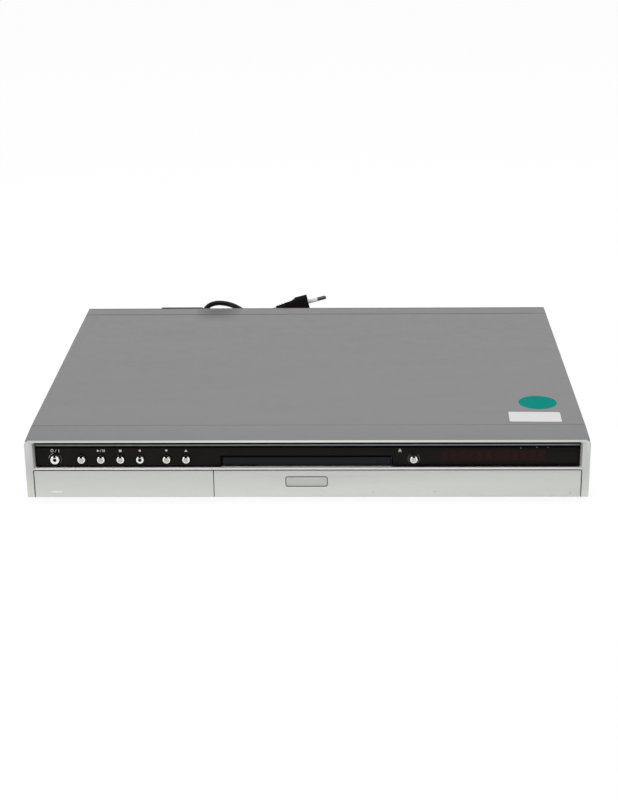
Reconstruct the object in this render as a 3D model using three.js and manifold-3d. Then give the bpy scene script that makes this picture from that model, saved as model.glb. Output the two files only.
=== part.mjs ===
// A free-standing disc recorder: a slim steel case with a silver front, a motor-driven disc tray,
// a flip-down door over the front sockets, and a captive mains cord that ends in a flat plug.
// Millimetres, +Z up, front towards -Y. Places below are measured from the middle of the width,
// from the front face backwards and from the floor up. The last lines centre the depth.

import * as THREE from 'three';
import { mergeVertices } from 'three/addons/utils/BufferGeometryUtils.js';
import Module from 'manifold-3d';

const wasm = await Module();
wasm.setup();

// Whole unit
const unitWidth = 430;
const unitHeight = 54;
const caseDepth = 335;

// Fits and fineness
const seat = 0.3;
const runningGap = 0.5;
const sink = 0.2;
const overrun = 1;
const mergeTolerance = 0.0001;
const roundSides = 24;
const buttonSides = 16;
const smallSides = 12;
const cornerSteps = 3;

// Feet
const footHeight = 6.1;
const footRadius = 15;
const footNeckRadius = 14;
const footPadRadius = 12;
const footPadHeight = 1;
const footFromSide = 45;
const footFromFront = 40;
const footFromBack = 45;

// Case sheets
const coverSheet = 0.8;
const coverInset = 0.6;
const coverBend = 1.5;
const coverHemHeight = 7;
const grooveFromBack = 19.5;
const grooveFromSide = 11.4;
const grooveWidth = 1.6;
const grooveDepth = 0.35;
const baseSheet = 1;
const baseStart = 11.8;
const baseSideHeight = 12;
const baseEndHeight = 6;
const rearSheet = 1.2;
const rearInset = 0.6;

// Standoffs of the base
const standoffRadius = 3;
const standoffInset = 6;
const loaderDeck = 10.3;
const boardDeck = 14.3;
const boardSheet = 1.6;

// Vents of the base, under the power board
const ventLength = 26;
const ventWidth = 3;
const ventPitch = 8;
const ventRowPitch = 40;
const ventCount = 8;
const ventRows = 2;
const ventFromBoardFront = 60;
const ventFromBoardSide = 40;

// Front fascia
const flangeDepth = 28.8;
const flangeThick = 1;
const flangeFall = 1.7;
const fasciaWallFront = 7.3;
const fasciaWallThick = 2;
const fasciaSideThick = 1.4;
const fasciaFootDepth = 4.2;
const fasciaFootThick = 1.5;
const browFront = 5;
const browHeight = 1.4;
const bossRadius = 2.2;
const bossDrop = 3.3;
const bossFromPillar = 13.8;
const bossFromSlot = 26;

// Front frame
const frameDepth = 6.9;
const rimHeight = 3.3;
const rimBevel = 1.2;
const rimLip = 0.3;
const pillarWidth = 6.2;
const pillarDraft = 1.2;
const frameCorner = 2.2;
const frontBottom = 6;
const ledgeHeightShare = 0.51902;
const ledgeThick = 0.7;

// Window strip
const windowRecess = 5;
const windowThick = 2;
const windowGap = 0.4;
const windowDrop = 4.8;
const windowOverSlot = 3.8;

// Tray slot and tray
const slotHalf = 65;
const slotHeight = 8.2;
const trayDoorHalf = 64;
const trayDoorHeight = 6.4;
const trayDoorRise = 1.1;
const trayDoorFront = 5.6;
const trayDoorThick = 2.2;
const trayHalf = 62.5;
const trayLength = 168;
const trayTravel = 140;
const trayRise = 0.6;
const trayRailHeight = 2;
const trayPlateThick = 3.6;
const trayWallHeight = 6.3;
const trayFrontWall = 2;
const trayRail = 4.5;
const discRadius = 60;
const discPlay = 0.8;
const discFromTrayFront = 66;
const discRecessDepth = 1.8;
const smallDiscRadius = 40.8;
const smallRecessDepth = 2.5;
const traySlotHalf = 19;

// Rack and drive gear
const toothPitch = Math.PI;
const gearTeeth = 20;
const gearX = -46.5;
const gearFromTrayFront = 21.9;
const toothRise = 0.9;
const toothDip = 1.2;
const toothWidth = 1.15;
const toothTipWidth = 0.65;
const toothRootWidth = 1.5;
const gearThick = 1.7;
const gearHubRadius = 6;
const gearPinRadius = 1.5;
const gearShoulderRadius = 4;
const pulleyHeight = 3;
const pulleyBelowTray = 5.8;
const pulleyFlange = 0.6;
const bigPulleyRadius = 13;
const smallPulleyRadius = 4.5;
const pulleyGroove = 1.5;
const beltThick = 1;
const motorFromGear = 38;
const loadingMotorRadius = 11;
const motorShaftRadius = 1;

// Loader frame
const loaderWall = 3;
const loaderStart = 16.2;
const loaderLength = 184;
const loaderFloor = 2;
const loaderOverTray = 14.2;
const guideWidth = 3.5;
const guideHeight = 2;
const loaderOpeningHalf = 50;
const loaderOpeningFront = 48;
const loaderOpeningBack = 178;

// Traverse, which carries the spindle and the pickup
const traverseHalf = 46;
const traverseFront = 54;
const traverseBack = 174;
const traverseBelowTray = 9.8;
const traverseSheet = 2;
const traverseWindowHalf = 22;
const traverseWindowFront = 92;
const traverseWindowBack = 156;
const pivotY = 180;
const pivotRise = 3.7;
const pivotRadius = 2;
const pivotLength = 5;
const pivotArm = 4;
const pivotArmReach = 5;
const pivotArmGap = 0.7;
const pivotBracket = 5.5;
const spindleMotorRadius = 12.5;
const spindleMotorHeight = 5.6;
const turntableRise = 4.6;
const turntableRadius = 14.5;
const turntableRim = 1;
const turntableNeckRadius = 9;
const hubRadius = 7.3;
const hubTipRadius = 5.5;
const hubHeight = 2.2;
const rodX = 30;
const rodRise = 2.6;
const rodRadius = 1.5;
const rodBlockHalf = 3;
const rodBlockThick = 3;
const rodBlockHeight = 5;
const rodStart = 88;
const rodEnd = 160;
const sledMotorHalf = 7;
const sledMotorHeight = 9;
const sledMotorLength = 14;
const pickupFromDisc = 24;
const pickupHalf = 34;
const pickupFront = 93;
const pickupLength = 30;
const pickupHeight = 5.4;
const pickupTowerHalf = 9;
const pickupTowerAhead = 7;
const pickupTowerBehind = 14;
const pickupTowerHeight = 3.6;
const lensRadius = 3;
const lensHeight = 1.4;

// Clamp over the turntable
const bridgeWidth = 30;
const bridgeSheet = 1;
const puckNeckRadius = 8;
const puckFlangeRadius = 13;
const puckRingRadius = 15;
const puckRise = 2.6;
const puckRing = 2;
const puckCap = 1.4;
const puckHollowRadius = 8.2;
const puckHollowDepth = 1.2;

// Buttons
const buttonRise = 6.5;
const leftButtonShares = [0.1134, 0.2545, 0.3588, 0.4631, 0.5675, 0.7086, 0.8129];
const openCloseShare = 0.1161;
const buttonRadius = 3.1;
const powerButtonRadius = 3.65;
const buttonFront = 2.2;
const buttonDome = 1;
const buttonShoulderShare = 0.82;
const buttonTipShare = 0.45;
const buttonTipDropShare = 0.25;
const buttonFlange = 1;
const buttonFlangeThick = 0.8;
const buttonStemRadius = 1.5;
const buttonTravel = 0.7;

// Front board and display
const frontBoardFront = 13;
const frontBoardFromPillar = 4.8;
const frontBoardRise = 1.2;
const frontBoardDrop = 1.2;
const boardNotchGap = 3;
const switchHalf = 3;
const switchHeight = 1;
const displayStartShare = 0.2364;
const displayEndShare = 0.8414;
const displayRise = 1.8;
const displayDrop = 5.7;
const displayMargin = 2;

// Lower panel, badge plate and input door
const panelFront = 0.2;
const panelThick = 2;
const panelWall = 1.5;
const panelSeam = 0.5;
const doorSeamFromSlot = 6;
const doorSeamHalf = 0.3;
const badgeX = 0;
const badgeHeightShare = 0.5864;
const badgeWidth = 32;
const badgeHeight = 8.6;
const badgeCorner = 1.6;
const badgeRecess = 1.2;
const badgeThick = 0.7;
const doorAxisY = 3;
const doorAxisZ = 8.6;
const doorEar = 2;
const doorEarBack = 1.4;
const doorEarHalf = 1.6;
const doorPinRadius = 1.2;
const doorPinReach = 2.2;
const doorPinPlay = 0.3;

// Front sockets behind the door
const socketPlateFromPillar = 4.8;
const socketPlateFromSeam = 5;
const socketPlateBottom = 8.2;
const socketPlateDrop = 1;
const socketPlateThick = 1.6;
const socketPlateRim = 4;
const socketRimHeight = 2;
const socketBodyDepth = 10;
const socketFront = 5;
const pinJackShares = [0.25, 0.3594, 0.4688];
const pinJackRadius = 4.1;
const pinJackBore = 1.7;
const pinJackDepth = 9;
const videoJackShare = 0.1094;
const videoJackRadius = 5.5;
const videoJackBore = 4.4;
const videoJackFront = 7;
const videoJackDepth = 6.5;
const linkJackShare = 0.6406;
const linkJackWidth = 6.2;
const linkJackHeight = 3.5;
const dataJackShare = 0.8281;
const dataJackWidth = 12.5;
const dataJackHeight = 5.1;
const dataJackDepth = 10;

// Hard drive on its bracket
const driveWidth = 101.6;
const driveLength = 147;
const driveHeight = 26.1;
const driveFront = 60;
const driveEdge = 3;
const bracketSheet = 1.4;
const bracketSideHeight = 18;

// Power board at the left
const powerBoardFromSide = 7.3;
const powerBoardFromLoader = 22;
const powerBoardFront = 70;
const powerBoardBack = 250;
const transformerFromSide = 56;
const transformerY = 190;
const transformerWidth = 34;
const transformerLength = 30;
const transformerHeight = 27;
const transformerCoreShare = 0.55;
const transformerEndShare = 0.2;
const heatSinkFromSide = 24;
const heatSinkY = 125;
const heatSinkWidth = 30;
const heatSinkLength = 50;
const heatSinkHeight = 26;
const heatSinkFins = 6;
const heatSinkFin = 1.6;
const heatSinkBase = 4;
const capacitorRadius = 9;
const capacitorHeight = 26;
const capacitorFromLoader = 24;
const capacitorY = 100;
const capacitorPitch = 30;
const capacitorCount = 3;

// Main board at the back
const mainBoardFromLoader = 18;
const mainBoardFromSide = 7.3;
const mainBoardBehindLoader = 13.8;
const mainBoardFromBack = 7.2;
const chipHalf = 14;
const chipHeight = 3;
const chipX = 40;
const chipDepthShare = 0.43;
const chipPitch = 50;
const chipCount = 3;

// Gaps along the rear panel: side, fan, gland, two flat sockets, jacks, tuner, side
const rearGapShares = [0.3608, 0.1609, 0.1652, 0.0487, 0.0732, 0.0975, 0.0937];

// Rear sockets
const rearSocketBottom = 16.2;
const scartWidth = 49;
const scartHeight = 15.4;
const scartBodyDepth = 18;
const scartProud = 1;
const scartCavityWidth = 42;
const scartCavityHeight = 11.4;
const scartCavityDepth = 10.5;
const scartSlant = 5;
const jackBlockWidth = 58;
const jackBlockBelowTop = 6.7;
const jackBlockDepth = 17;
const jackColumns = 3;
const jackRows = 2;
const jackPitch = 17;
const jackRowPitchShare = 0.4667;
const jackProud = 7;
const tunerWidth = 32;
const tunerBelowTop = 4.7;
const tunerDepth = 40;
const aerialRadius = 4.8;
const aerialBore = 4.05;
const aerialProud = 10;
const aerialPitchShare = 0.46875;
const aerialDepth = 9.5;

// Fan outside the rear panel
const fanSize = 40;
const fanThick = 10;
const fanTopGap = 2;
const fanBoreRadius = 18.8;
const fanStrut = 2;
const fanStrutThick = 2.4;
const fanHubRadius = 9;
const fanBladeCount = 7;
const fanBladeReach = 17.8;
const fanBladeThick = 1;
const fanBladeDepth = 5;
const fanBladeTwist = 35;
const guardThick = 1;
const guardWire = 1.4;
const guardRings = 3;
const guardCorner = 1.2;

// Mains cord, its gland and plug
const cordDiameter = 5;
const cordSides = 8;
const glandZ = 38;
const glandNeckRadius = 5.3;
const glandFlangeRadius = 7;
const glandFlangeThick = 2.6;
const glandRoot = 5;
const glandTip = 3.4;
const glandLength = 28;
const coilX = -35;
const coilY = 430;
const coilRadius = 36.5;
const coilLoops = 6;
const coilStartAngle = 90;
const coilPitch = 5.6;
const coilLow = 3;
const coilLayer = 5.6;
const coilEndAngle = 210;
const loopSteps = 24;
const loopSides = 6;
const tieWidth = 5;
const tieThick = 0.8;
const tieFootThick = 0.3;
const tieFootGap = 0.1;
const tieClear = 0.5;
const plugFaceX = -11.5;
const plugFaceY = 449;
const plugFaceZ = 24.9;
const plugTilt = 14.5;
const plugRoll = 18;
const plugWidth = 35.3;
const plugThick = 13.7;
const plugShoulder = 12;
const plugShoulderWidth = 31;
const plugShoulderThick = 11;
const plugNeck = 22;
const plugNeckWidth = 10;
const plugLength = 34;
const guardRoot = 4;
const guardTip = 3.1;
const plugPinRadius = 2;
const plugPinLength = 19;
const plugPinSpacing = 18.6;
const plugPinSocket = 3;

// Places worked out from the sizes above
const baseBottom = footHeight + seat;
const baseTop = baseBottom + baseSheet;
const coverHalf = unitWidth / 2 - coverInset;
const innerHalf = coverHalf - coverSheet - seat;
const innerTop = unitHeight - coverSheet - seat;
const rearBack = caseDepth - rearInset;
const rearFront = rearBack - rearSheet;
const fasciaWallBack = fasciaWallFront + fasciaWallThick;
const rimTop = unitHeight - flangeFall;
const rimBottom = unitHeight - rimHeight;
const pillarInner = unitWidth / 2 - pillarWidth;
const windowHalf = pillarInner - pillarDraft - windowGap;
const frontZone = pillarInner - slotHalf;
const frontBoardHalf = pillarInner - frontBoardFromPillar;
const displayLeft = slotHalf + frontZone * displayStartShare;
const displayRight = slotHalf + frontZone * displayEndShare;
const doorSeamX = -slotHalf - doorSeamFromSlot;
const socketPlateLeft = socketPlateFromPillar - pillarInner;
const socketPlateRight = doorSeamX - socketPlateFromSeam;
const socketPlateWidth = socketPlateRight - socketPlateLeft;
const ledgeTop = frontBottom + (rimBottom - frontBottom) * ledgeHeightShare;
const windowBottom = ledgeTop + seat;
const windowTop = rimBottom - windowDrop;
const bossHeight = rimBottom - bossDrop;
const slotTop = ledgeTop + slotHeight;
const wallSlotTop = windowTop - windowOverSlot;
const buttonZ = ledgeTop + buttonRise;
const frontBoardBottom = ledgeTop + frontBoardRise;
const frontBoardTop = rimBottom - frontBoardDrop;
const displayBottom = ledgeTop + displayRise;
const displayTop = rimBottom - displayDrop;
const socketPlateTop = ledgeTop - socketPlateDrop;
const socketRowZ = (socketPlateBottom + socketPlateTop) / 2;
const trayDoorBottom = ledgeTop + trayDoorRise;
const trayBottom = ledgeTop + trayRise;
const trayPlateBottom = trayBottom + trayRailHeight;
const trayPlateTop = trayPlateBottom + trayPlateThick;
const trayWallTop = trayBottom + trayWallHeight;
const pulleyBottom = trayBottom - pulleyBelowTray;
const loaderTop = trayBottom + loaderOverTray;
const traverseBottom = trayBottom - traverseBelowTray;
const pivotZ = loaderDeck + loaderFloor + pivotRise;
const pivotArmBottom = loaderDeck + loaderFloor + pivotArmGap;
const turntableTop = trayBottom + turntableRise;
const hubTop = turntableTop + hubHeight;
const puckBottom = turntableTop + puckRise;
const trayFront = trayDoorFront + trayDoorThick + seat;
const discY = trayFront + discFromTrayFront;
const gearPitchRadius = (gearTeeth * toothPitch) / (2 * Math.PI);
const gearY = trayFront + gearFromTrayFront;
const rackPitchX = gearX - gearPitchRadius;
const loaderHalf = trayHalf + runningGap + loaderWall;
const loaderBack = loaderStart + loaderLength;
const driveX = (loaderHalf + innerHalf) / 2;
const powerBoardLeft = powerBoardFromSide - innerHalf;
const powerBoardRight = -loaderHalf - powerBoardFromLoader;
const mainBoardLeft = -loaderHalf - mainBoardFromLoader;
const mainBoardRight = innerHalf - mainBoardFromSide;
const mainBoardFront = loaderBack + mainBoardBehindLoader;
const mainBoardBack = rearFront - mainBoardFromBack;
const rearWidths = [fanSize, 2 * glandFlangeRadius, scartWidth, scartWidth, jackBlockWidth, tunerWidth];
const rearCentres = rearWidths.map((width, i) => {
  const taken = rearWidths.slice(0, i).reduce((sum, each) => sum + each, 0);
  const spare = 2 * innerHalf - rearWidths.reduce((sum, each) => sum + each);
  const gaps = rearGapShares.slice(0, i + 1).reduce((sum, each) => sum + each);
  return taken + spare * gaps + width / 2 - innerHalf;
});
const [fanX, glandX, scartOneX, scartTwoX, jackBlockX, tunerX] = rearCentres;
const traverseTop = traverseBottom + traverseSheet;
const rodZ = traverseTop + rodRise;
const rodBlockTop = traverseTop + rodBlockHeight;
const sledMotorTop = traverseTop + sledMotorHeight;
const pickupTop = traverseTop + pickupHeight;
const pickupTowerTop = pickupTop + pickupTowerHeight;
const lensTop = pickupTowerTop + lensHeight;
const panelTop = ledgeTop - ledgeThick - panelSeam;
const panelBack = fasciaWallFront - seat;
const badgeZ = frontBottom + (panelTop - frontBottom) * badgeHeightShare;
const jackBlockHeight = innerTop - jackBlockBelowTop - rearSocketBottom;
const jackRowPitch = jackBlockHeight * jackRowPitchShare;
const tunerHeight = innerTop - tunerBelowTop - rearSocketBottom;
const aerialPitch = tunerHeight * aerialPitchShare;
const boardTop = boardDeck + boardSheet;
const fanZ = unitHeight - fanTopGap - fanSize / 2;
const fanFront = rearBack + seat;
const fanBack = fanFront + fanThick;
const unitBack = fanBack + seat + guardThick;
const cordRadius = cordDiameter / 2;
const coilTurns = coilLoops - (coilEndAngle - coilStartAngle) / 360;

// Turns a closed three.js geometry into a solid that can be joined and cut.
function solidOf(geometry) {
  const bare = geometry.clone();
  bare.deleteAttribute('normal');
  bare.deleteAttribute('uv');
  const merged = mergeVertices(bare, mergeTolerance);
  const places = merged.attributes.position.array;
  const index = merged.index.array;
  const corners = [];
  let volume = 0;
  for (let i = 0; i < index.length; i += 3) {
    const [a, b, c] = [index[i], index[i + 1], index[i + 2]];
    if (a === b || b === c || c === a) continue;
    corners.push(a, b, c);
    const [p, q, r] = [a, b, c].map((k) => new THREE.Vector3().fromArray(places, 3 * k));
    volume += p.dot(q.cross(r));
  }
  const turned = volume < 0 ? corners.reverse() : corners;
  return new wasm.Manifold(new wasm.Mesh({
    numProp: 3,
    vertProperties: Float32Array.from(places),
    triVerts: Uint32Array.from(turned),
  }));
}

function join(...solids) {
  return solids.flat().reduce((whole, next) => whole.add(next));
}

function cut(solid, ...tools) {
  return tools.flat().reduce((left, tool) => left.subtract(tool), solid);
}

// A block between two corners, given as [low, high] along X, Y and Z.
function block(x, y, z) {
  const geometry = new THREE.BoxGeometry(x[1] - x[0], y[1] - y[0], z[1] - z[0]);
  geometry.translate((x[0] + x[1]) / 2, (y[0] + y[1]) / 2, (z[0] + z[1]) / 2);
  return solidOf(geometry);
}

// Lays a geometry that was made along +Y along another axis.
function alongAxis(geometry, axis) {
  if (axis === 'x') geometry.rotateZ(-Math.PI / 2);
  if (axis === 'z') geometry.rotateX(Math.PI / 2);
  return geometry;
}

// Moves a geometry on its axis to the two other coordinates of its centre.
function toCentre(geometry, axis, centre, mid) {
  if (axis === 'x') geometry.translate(mid, centre[0], centre[1]);
  if (axis === 'y') geometry.translate(centre[0], mid, centre[1]);
  if (axis === 'z') geometry.translate(centre[0], centre[1], mid);
  return geometry;
}

// A round bar along an axis.
function rod(axis, centre, span, radius, sides = smallSides) {
  const geometry = new THREE.CylinderGeometry(radius, radius, span[1] - span[0], sides);
  return solidOf(toCentre(alongAxis(geometry, axis), axis, centre, (span[0] + span[1]) / 2));
}

// A turned piece: its profile is a list of [radius, place along the axis].
function turned(axis, centre, profile, sides = roundSides) {
  const points = profile.map(([r, along]) => new THREE.Vector2(r, along));
  const geometry = new THREE.LatheGeometry(points, sides);
  return solidOf(toCentre(alongAxis(geometry, axis), axis, centre, 0));
}

// A plate of a flat outline in the XY, XZ or YZ plane, with its thickness along the third axis.
function plate(plane, shape, span, steps = cornerSteps) {
  const geometry = new THREE.ExtrudeGeometry(shape, {
    depth: span[1] - span[0],
    bevelEnabled: false,
    curveSegments: steps,
  });
  if (plane === 'xy') geometry.translate(0, 0, span[0]);
  if (plane === 'xz') geometry.rotateX(Math.PI / 2).translate(0, span[1], 0);
  if (plane === 'yz') geometry.rotateY(Math.PI / 2).rotateX(Math.PI / 2).translate(span[0], 0, 0);
  return solidOf(geometry);
}

function outline(points) {
  return new THREE.Shape(points.map(([a, b]) => new THREE.Vector2(a, b)));
}

// A rectangle with round corners, between [low, high] in both directions.
function roundedRect([left, right], [low, high], corner) {
  const shape = new THREE.Shape();
  shape.moveTo(left + corner, low);
  shape.lineTo(right - corner, low);
  shape.absarc(right - corner, low + corner, corner, -Math.PI / 2, 0, false);
  shape.lineTo(right, high - corner);
  shape.absarc(right - corner, high - corner, corner, 0, Math.PI / 2, false);
  shape.lineTo(left + corner, high);
  shape.absarc(left + corner, high - corner, corner, Math.PI / 2, Math.PI, false);
  shape.lineTo(left, low + corner);
  shape.absarc(left + corner, low + corner, corner, Math.PI, (3 * Math.PI) / 2, false);
  return shape;
}

function around(middle, half) {
  return [middle - half, middle + half];
}

function finish(color, roughness, metalness) {
  return new THREE.MeshStandardMaterial({ color, roughness, metalness });
}

const coverPaint = finish(0x8f8f8f, 0.5, 0.4);
const fasciaPlastic = finish(0x8a8a8d, 0.45, 0.2);
const silverPlastic = finish(0xc8cac4, 0.35, 0.3);
const smokedPlastic = finish(0x1c1b17, 0.12, 0);
const blackPlastic = finish(0x1b1b1c, 0.55, 0);
const trayPlastic = finish(0x2a2c31, 0.6, 0);
const buttonPlastic = finish(0xd9d6c8, 0.3, 0.2);
const zincSteel = finish(0xa9acb0, 0.4, 0.9);
const blackSteel = finish(0x26272a, 0.5, 0.6);
const boardGreen = finish(0x2f5a3a, 0.5, 0);
const boardBrown = finish(0x9a7a4a, 0.6, 0);
const brightSteel = finish(0xcfd2d6, 0.2, 1);
const aluminium = finish(0xb4b7ba, 0.35, 0.9);
const whitePlastic = finish(0xd8d5cc, 0.6, 0);
const cordPlastic = finish(0x121213, 0.45, 0);
const beltRubber = finish(0x161616, 0.8, 0);
const brass = finish(0xb99a52, 0.3, 1);

const unit = new THREE.Group();

function addMesh(name, geometry, material) {
  geometry.computeVertexNormals();
  const mesh = new THREE.Mesh(geometry, material);
  mesh.name = name;
  unit.add(mesh);
  return mesh;
}

function add(name, solid, material) {
  const { vertProperties, triVerts } = solid.getMesh();
  const geometry = new THREE.BufferGeometry();
  geometry.setAttribute('position', new THREE.Float32BufferAttribute(vertProperties, 3));
  geometry.setIndex([...triVerts]);
  return addMesh(name, geometry, material);
}

// Four moulded feet with a soft pad, screwed up into the base.
function makeFeet() {
  const profile = [
    [0, 0],
    [footPadRadius, 0],
    [footPadRadius, footPadHeight],
    [footNeckRadius, footPadHeight],
    [footRadius, footHeight],
    [0, footHeight],
  ];
  const x = unitWidth / 2 - footFromSide;
  const places = {
    foot_front_left: [-x, footFromFront],
    foot_front_right: [x, footFromFront],
    foot_rear_left: [-x, caseDepth - footFromBack],
    foot_rear_right: [x, caseDepth - footFromBack],
  };
  for (const [name, place] of Object.entries(places)) {
    add(name, turned('z', place, profile), blackPlastic);
  }
}

// The four corners of a board or frame, a little way in from its edges.
function cornersOf([left, right], [front, back]) {
  return [left + standoffInset, right - standoffInset].flatMap((x) => (
    [front + standoffInset, back - standoffInset].map((y) => [x, y])
  ));
}

// The zinc-plated steel floor, with its turned-up sides, vents and standoffs.
function makeBase() {
  const back = rearFront - seat;
  const floor = block([-innerHalf, innerHalf], [baseStart, back], [baseBottom, baseTop]);
  const sides = [-1, 1].map((side) => block(
    around(side * (innerHalf - baseSheet / 2), baseSheet / 2),
    [flangeDepth + seat, back],
    [baseBottom, baseBottom + baseSideHeight],
  ));
  const end = block(
    [-innerHalf, innerHalf],
    [back - baseSheet, back],
    [baseBottom, baseBottom + baseEndHeight],
  );
  const loaderCorners = cornersOf([-loaderHalf, loaderHalf], [loaderStart, loaderBack]);
  const bracketHalf = driveWidth / 2 + bracketSheet + seat;
  const lowPlaces = loaderCorners.concat(
    cornersOf(around(driveX, bracketHalf), [driveFront, driveFront + driveLength]),
  );
  const highPlaces = cornersOf(
    [powerBoardLeft, powerBoardRight],
    [powerBoardFront, powerBoardBack],
  ).concat(cornersOf([mainBoardLeft, mainBoardRight], [mainBoardFront, mainBoardBack]));
  const standoffs = [[lowPlaces, loaderDeck], [highPlaces, boardDeck]].flatMap(([places, deck]) => (
    places.map((place) => rod('z', place, [baseTop - sink, deck - seat], standoffRadius))
  ));
  const vents = [];
  for (let row = 0; row < ventRows; row += 1) {
    for (let i = 0; i < ventCount; i += 1) {
      const x = powerBoardLeft + ventFromBoardSide + row * ventRowPitch;
      const y = powerBoardFront + ventFromBoardFront + i * ventPitch;
      vents.push(block(
        around(x, ventLength / 2),
        around(y, ventWidth / 2),
        [baseBottom - overrun, baseTop + overrun],
      ));
    }
  }
  add('base_chassis', cut(join(floor, sides, end, standoffs), vents), zincSteel);
}

// The painted steel cover: one folded sheet with a pressed line near its back edge.
function makeCover() {
  const span = [flangeDepth + seat, caseDepth];
  const shell = plate('xz', roundedRect(
    [-coverHalf, coverHalf],
    [coverHemHeight - 2 * coverBend, unitHeight],
    coverBend,
  ), span);
  const inside = block(
    around(0, coverHalf - coverSheet),
    [span[0] - overrun, span[1] + overrun],
    [-overrun, unitHeight - coverSheet],
  );
  const hem = block(
    around(0, coverHalf + overrun),
    [span[0] - overrun, span[1] + overrun],
    [-overrun, coverHemHeight],
  );
  const groove = block(
    around(0, coverHalf - grooveFromSide),
    around(caseDepth - grooveFromBack, grooveWidth / 2),
    [unitHeight - grooveDepth, unitHeight + overrun],
  );
  add('top_cover', cut(shell, inside, hem, groove), coverPaint);
}

// The black rear panel, cut out for the sockets, the fan and the cord.
function makeRearPanel() {
  const sheet = block([-innerHalf, innerHalf], [rearFront, rearBack], [baseBottom, innerTop]);
  const through = [rearFront - overrun, rearBack + overrun];
  const window = ([left, right], [low, high]) => block(
    [left - seat, right + seat],
    through,
    [low - seat, high + seat],
  );
  const scartWindows = [scartOneX, scartTwoX].map((x) => window(
    around(x, scartWidth / 2),
    [rearSocketBottom, rearSocketBottom + scartHeight],
  ));
  const jackWindow = window(
    around(jackBlockX, jackBlockWidth / 2),
    [rearSocketBottom, rearSocketBottom + jackBlockHeight],
  );
  const tunerWindow = window(
    around(tunerX, tunerWidth / 2),
    [rearSocketBottom, rearSocketBottom + tunerHeight],
  );
  const fanHole = rod('y', [fanX, fanZ], through, fanBoreRadius, roundSides);
  const cordHole = rod('y', [glandX, glandZ], through, glandNeckRadius + seat);
  add(
    'rear_panel',
    cut(sheet, scartWindows, jackWindow, tunerWindow, fanHole, cordHole),
    blackSteel,
  );
}

// Where each button sits across the front, with the radius of its cap.
const buttonNames = [
  'power_button',
  'source_button',
  'play_button',
  'stop_button',
  'record_button',
  'channel_down_button',
  'channel_up_button',
];
const buttons = buttonNames.map((name, i) => [
  name,
  frontZone * leftButtonShares[i] - pillarInner,
  i === 0 ? powerButtonRadius : buttonRadius,
]);
buttons.push(['open_close_button', slotHalf + frontZone * openCloseShare, buttonRadius]);

function buttonHoles(span) {
  return buttons.map(([, x, radius]) => rod('y', [x, buttonZ], span, radius + seat, roundSides));
}

// The grey inner moulding: its flange carries on the cover and falls a little towards the
// front, and its wall carries the window strip, the lower panel and the front board. The wall is
// open in the middle, for the tray and behind the lower panel, where only its foot and flange
// run across.
function makeFascia() {
  const half = coverHalf;
  const sideInner = unitWidth / 2 - fasciaSideThick;
  const flangeFront = rimBevel + rimLip + seat;
  const flangeBack = unitHeight - flangeThick;
  const wallTop = rimTop - flangeThick;
  const flange = plate('yz', outline([
    [flangeFront, wallTop],
    [flangeFront, rimTop],
    [flangeDepth, unitHeight],
    [flangeDepth, flangeBack],
  ]), [-half, half]);
  const sides = [-1, 1].map((side) => plate('yz', outline([
    [fasciaWallFront, baseBottom],
    [flangeDepth, baseBottom],
    [flangeDepth, flangeBack + sink],
    [fasciaWallFront, rimTop - flangeThick / 2],
  ]), around(side * (half + sideInner) / 2, (half - sideInner) / 2)));
  const wall = block(
    around(0, half - sink),
    [fasciaWallFront, fasciaWallBack],
    [baseBottom, rimTop - flangeThick / 2],
  );
  const foot = block(
    around(0, half - sink),
    [fasciaWallFront, fasciaWallFront + fasciaFootDepth],
    [baseBottom, baseBottom + fasciaFootThick],
  );
  const brow = block(
    around(0, windowHalf),
    [browFront, fasciaWallFront + sink],
    [windowTop + seat, windowTop + seat + browHeight],
  );
  const bossOutX = pillarInner - bossFromPillar;
  const bossInX = slotHalf + bossFromSlot;
  const bosses = [-bossOutX, -bossInX, bossInX, bossOutX].map((x) => rod(
    'y',
    [x, bossHeight],
    [fasciaWallBack - sink, frontBoardFront - seat],
    bossRadius,
  ));
  const through = [browFront - overrun, fasciaWallBack + overrun];
  const slot = block(around(0, slotHalf), through, [baseBottom + fasciaFootThick, wallSlotTop]);
  const display = block(
    [displayLeft + displayMargin, displayRight - displayMargin],
    through,
    [displayBottom + displayMargin, displayTop - displayMargin],
  );
  const doorway = block(
    [socketPlateLeft + socketPlateRim, socketPlateRight - socketPlateRim],
    through,
    [socketPlateBottom + socketRimHeight, socketPlateTop - socketRimHeight],
  );
  add(
    'front_fascia',
    cut(join(flange, sides, wall, foot, brow, bosses), slot, display, doorway, buttonHoles(through)),
    fasciaPlastic,
  );
}

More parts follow.
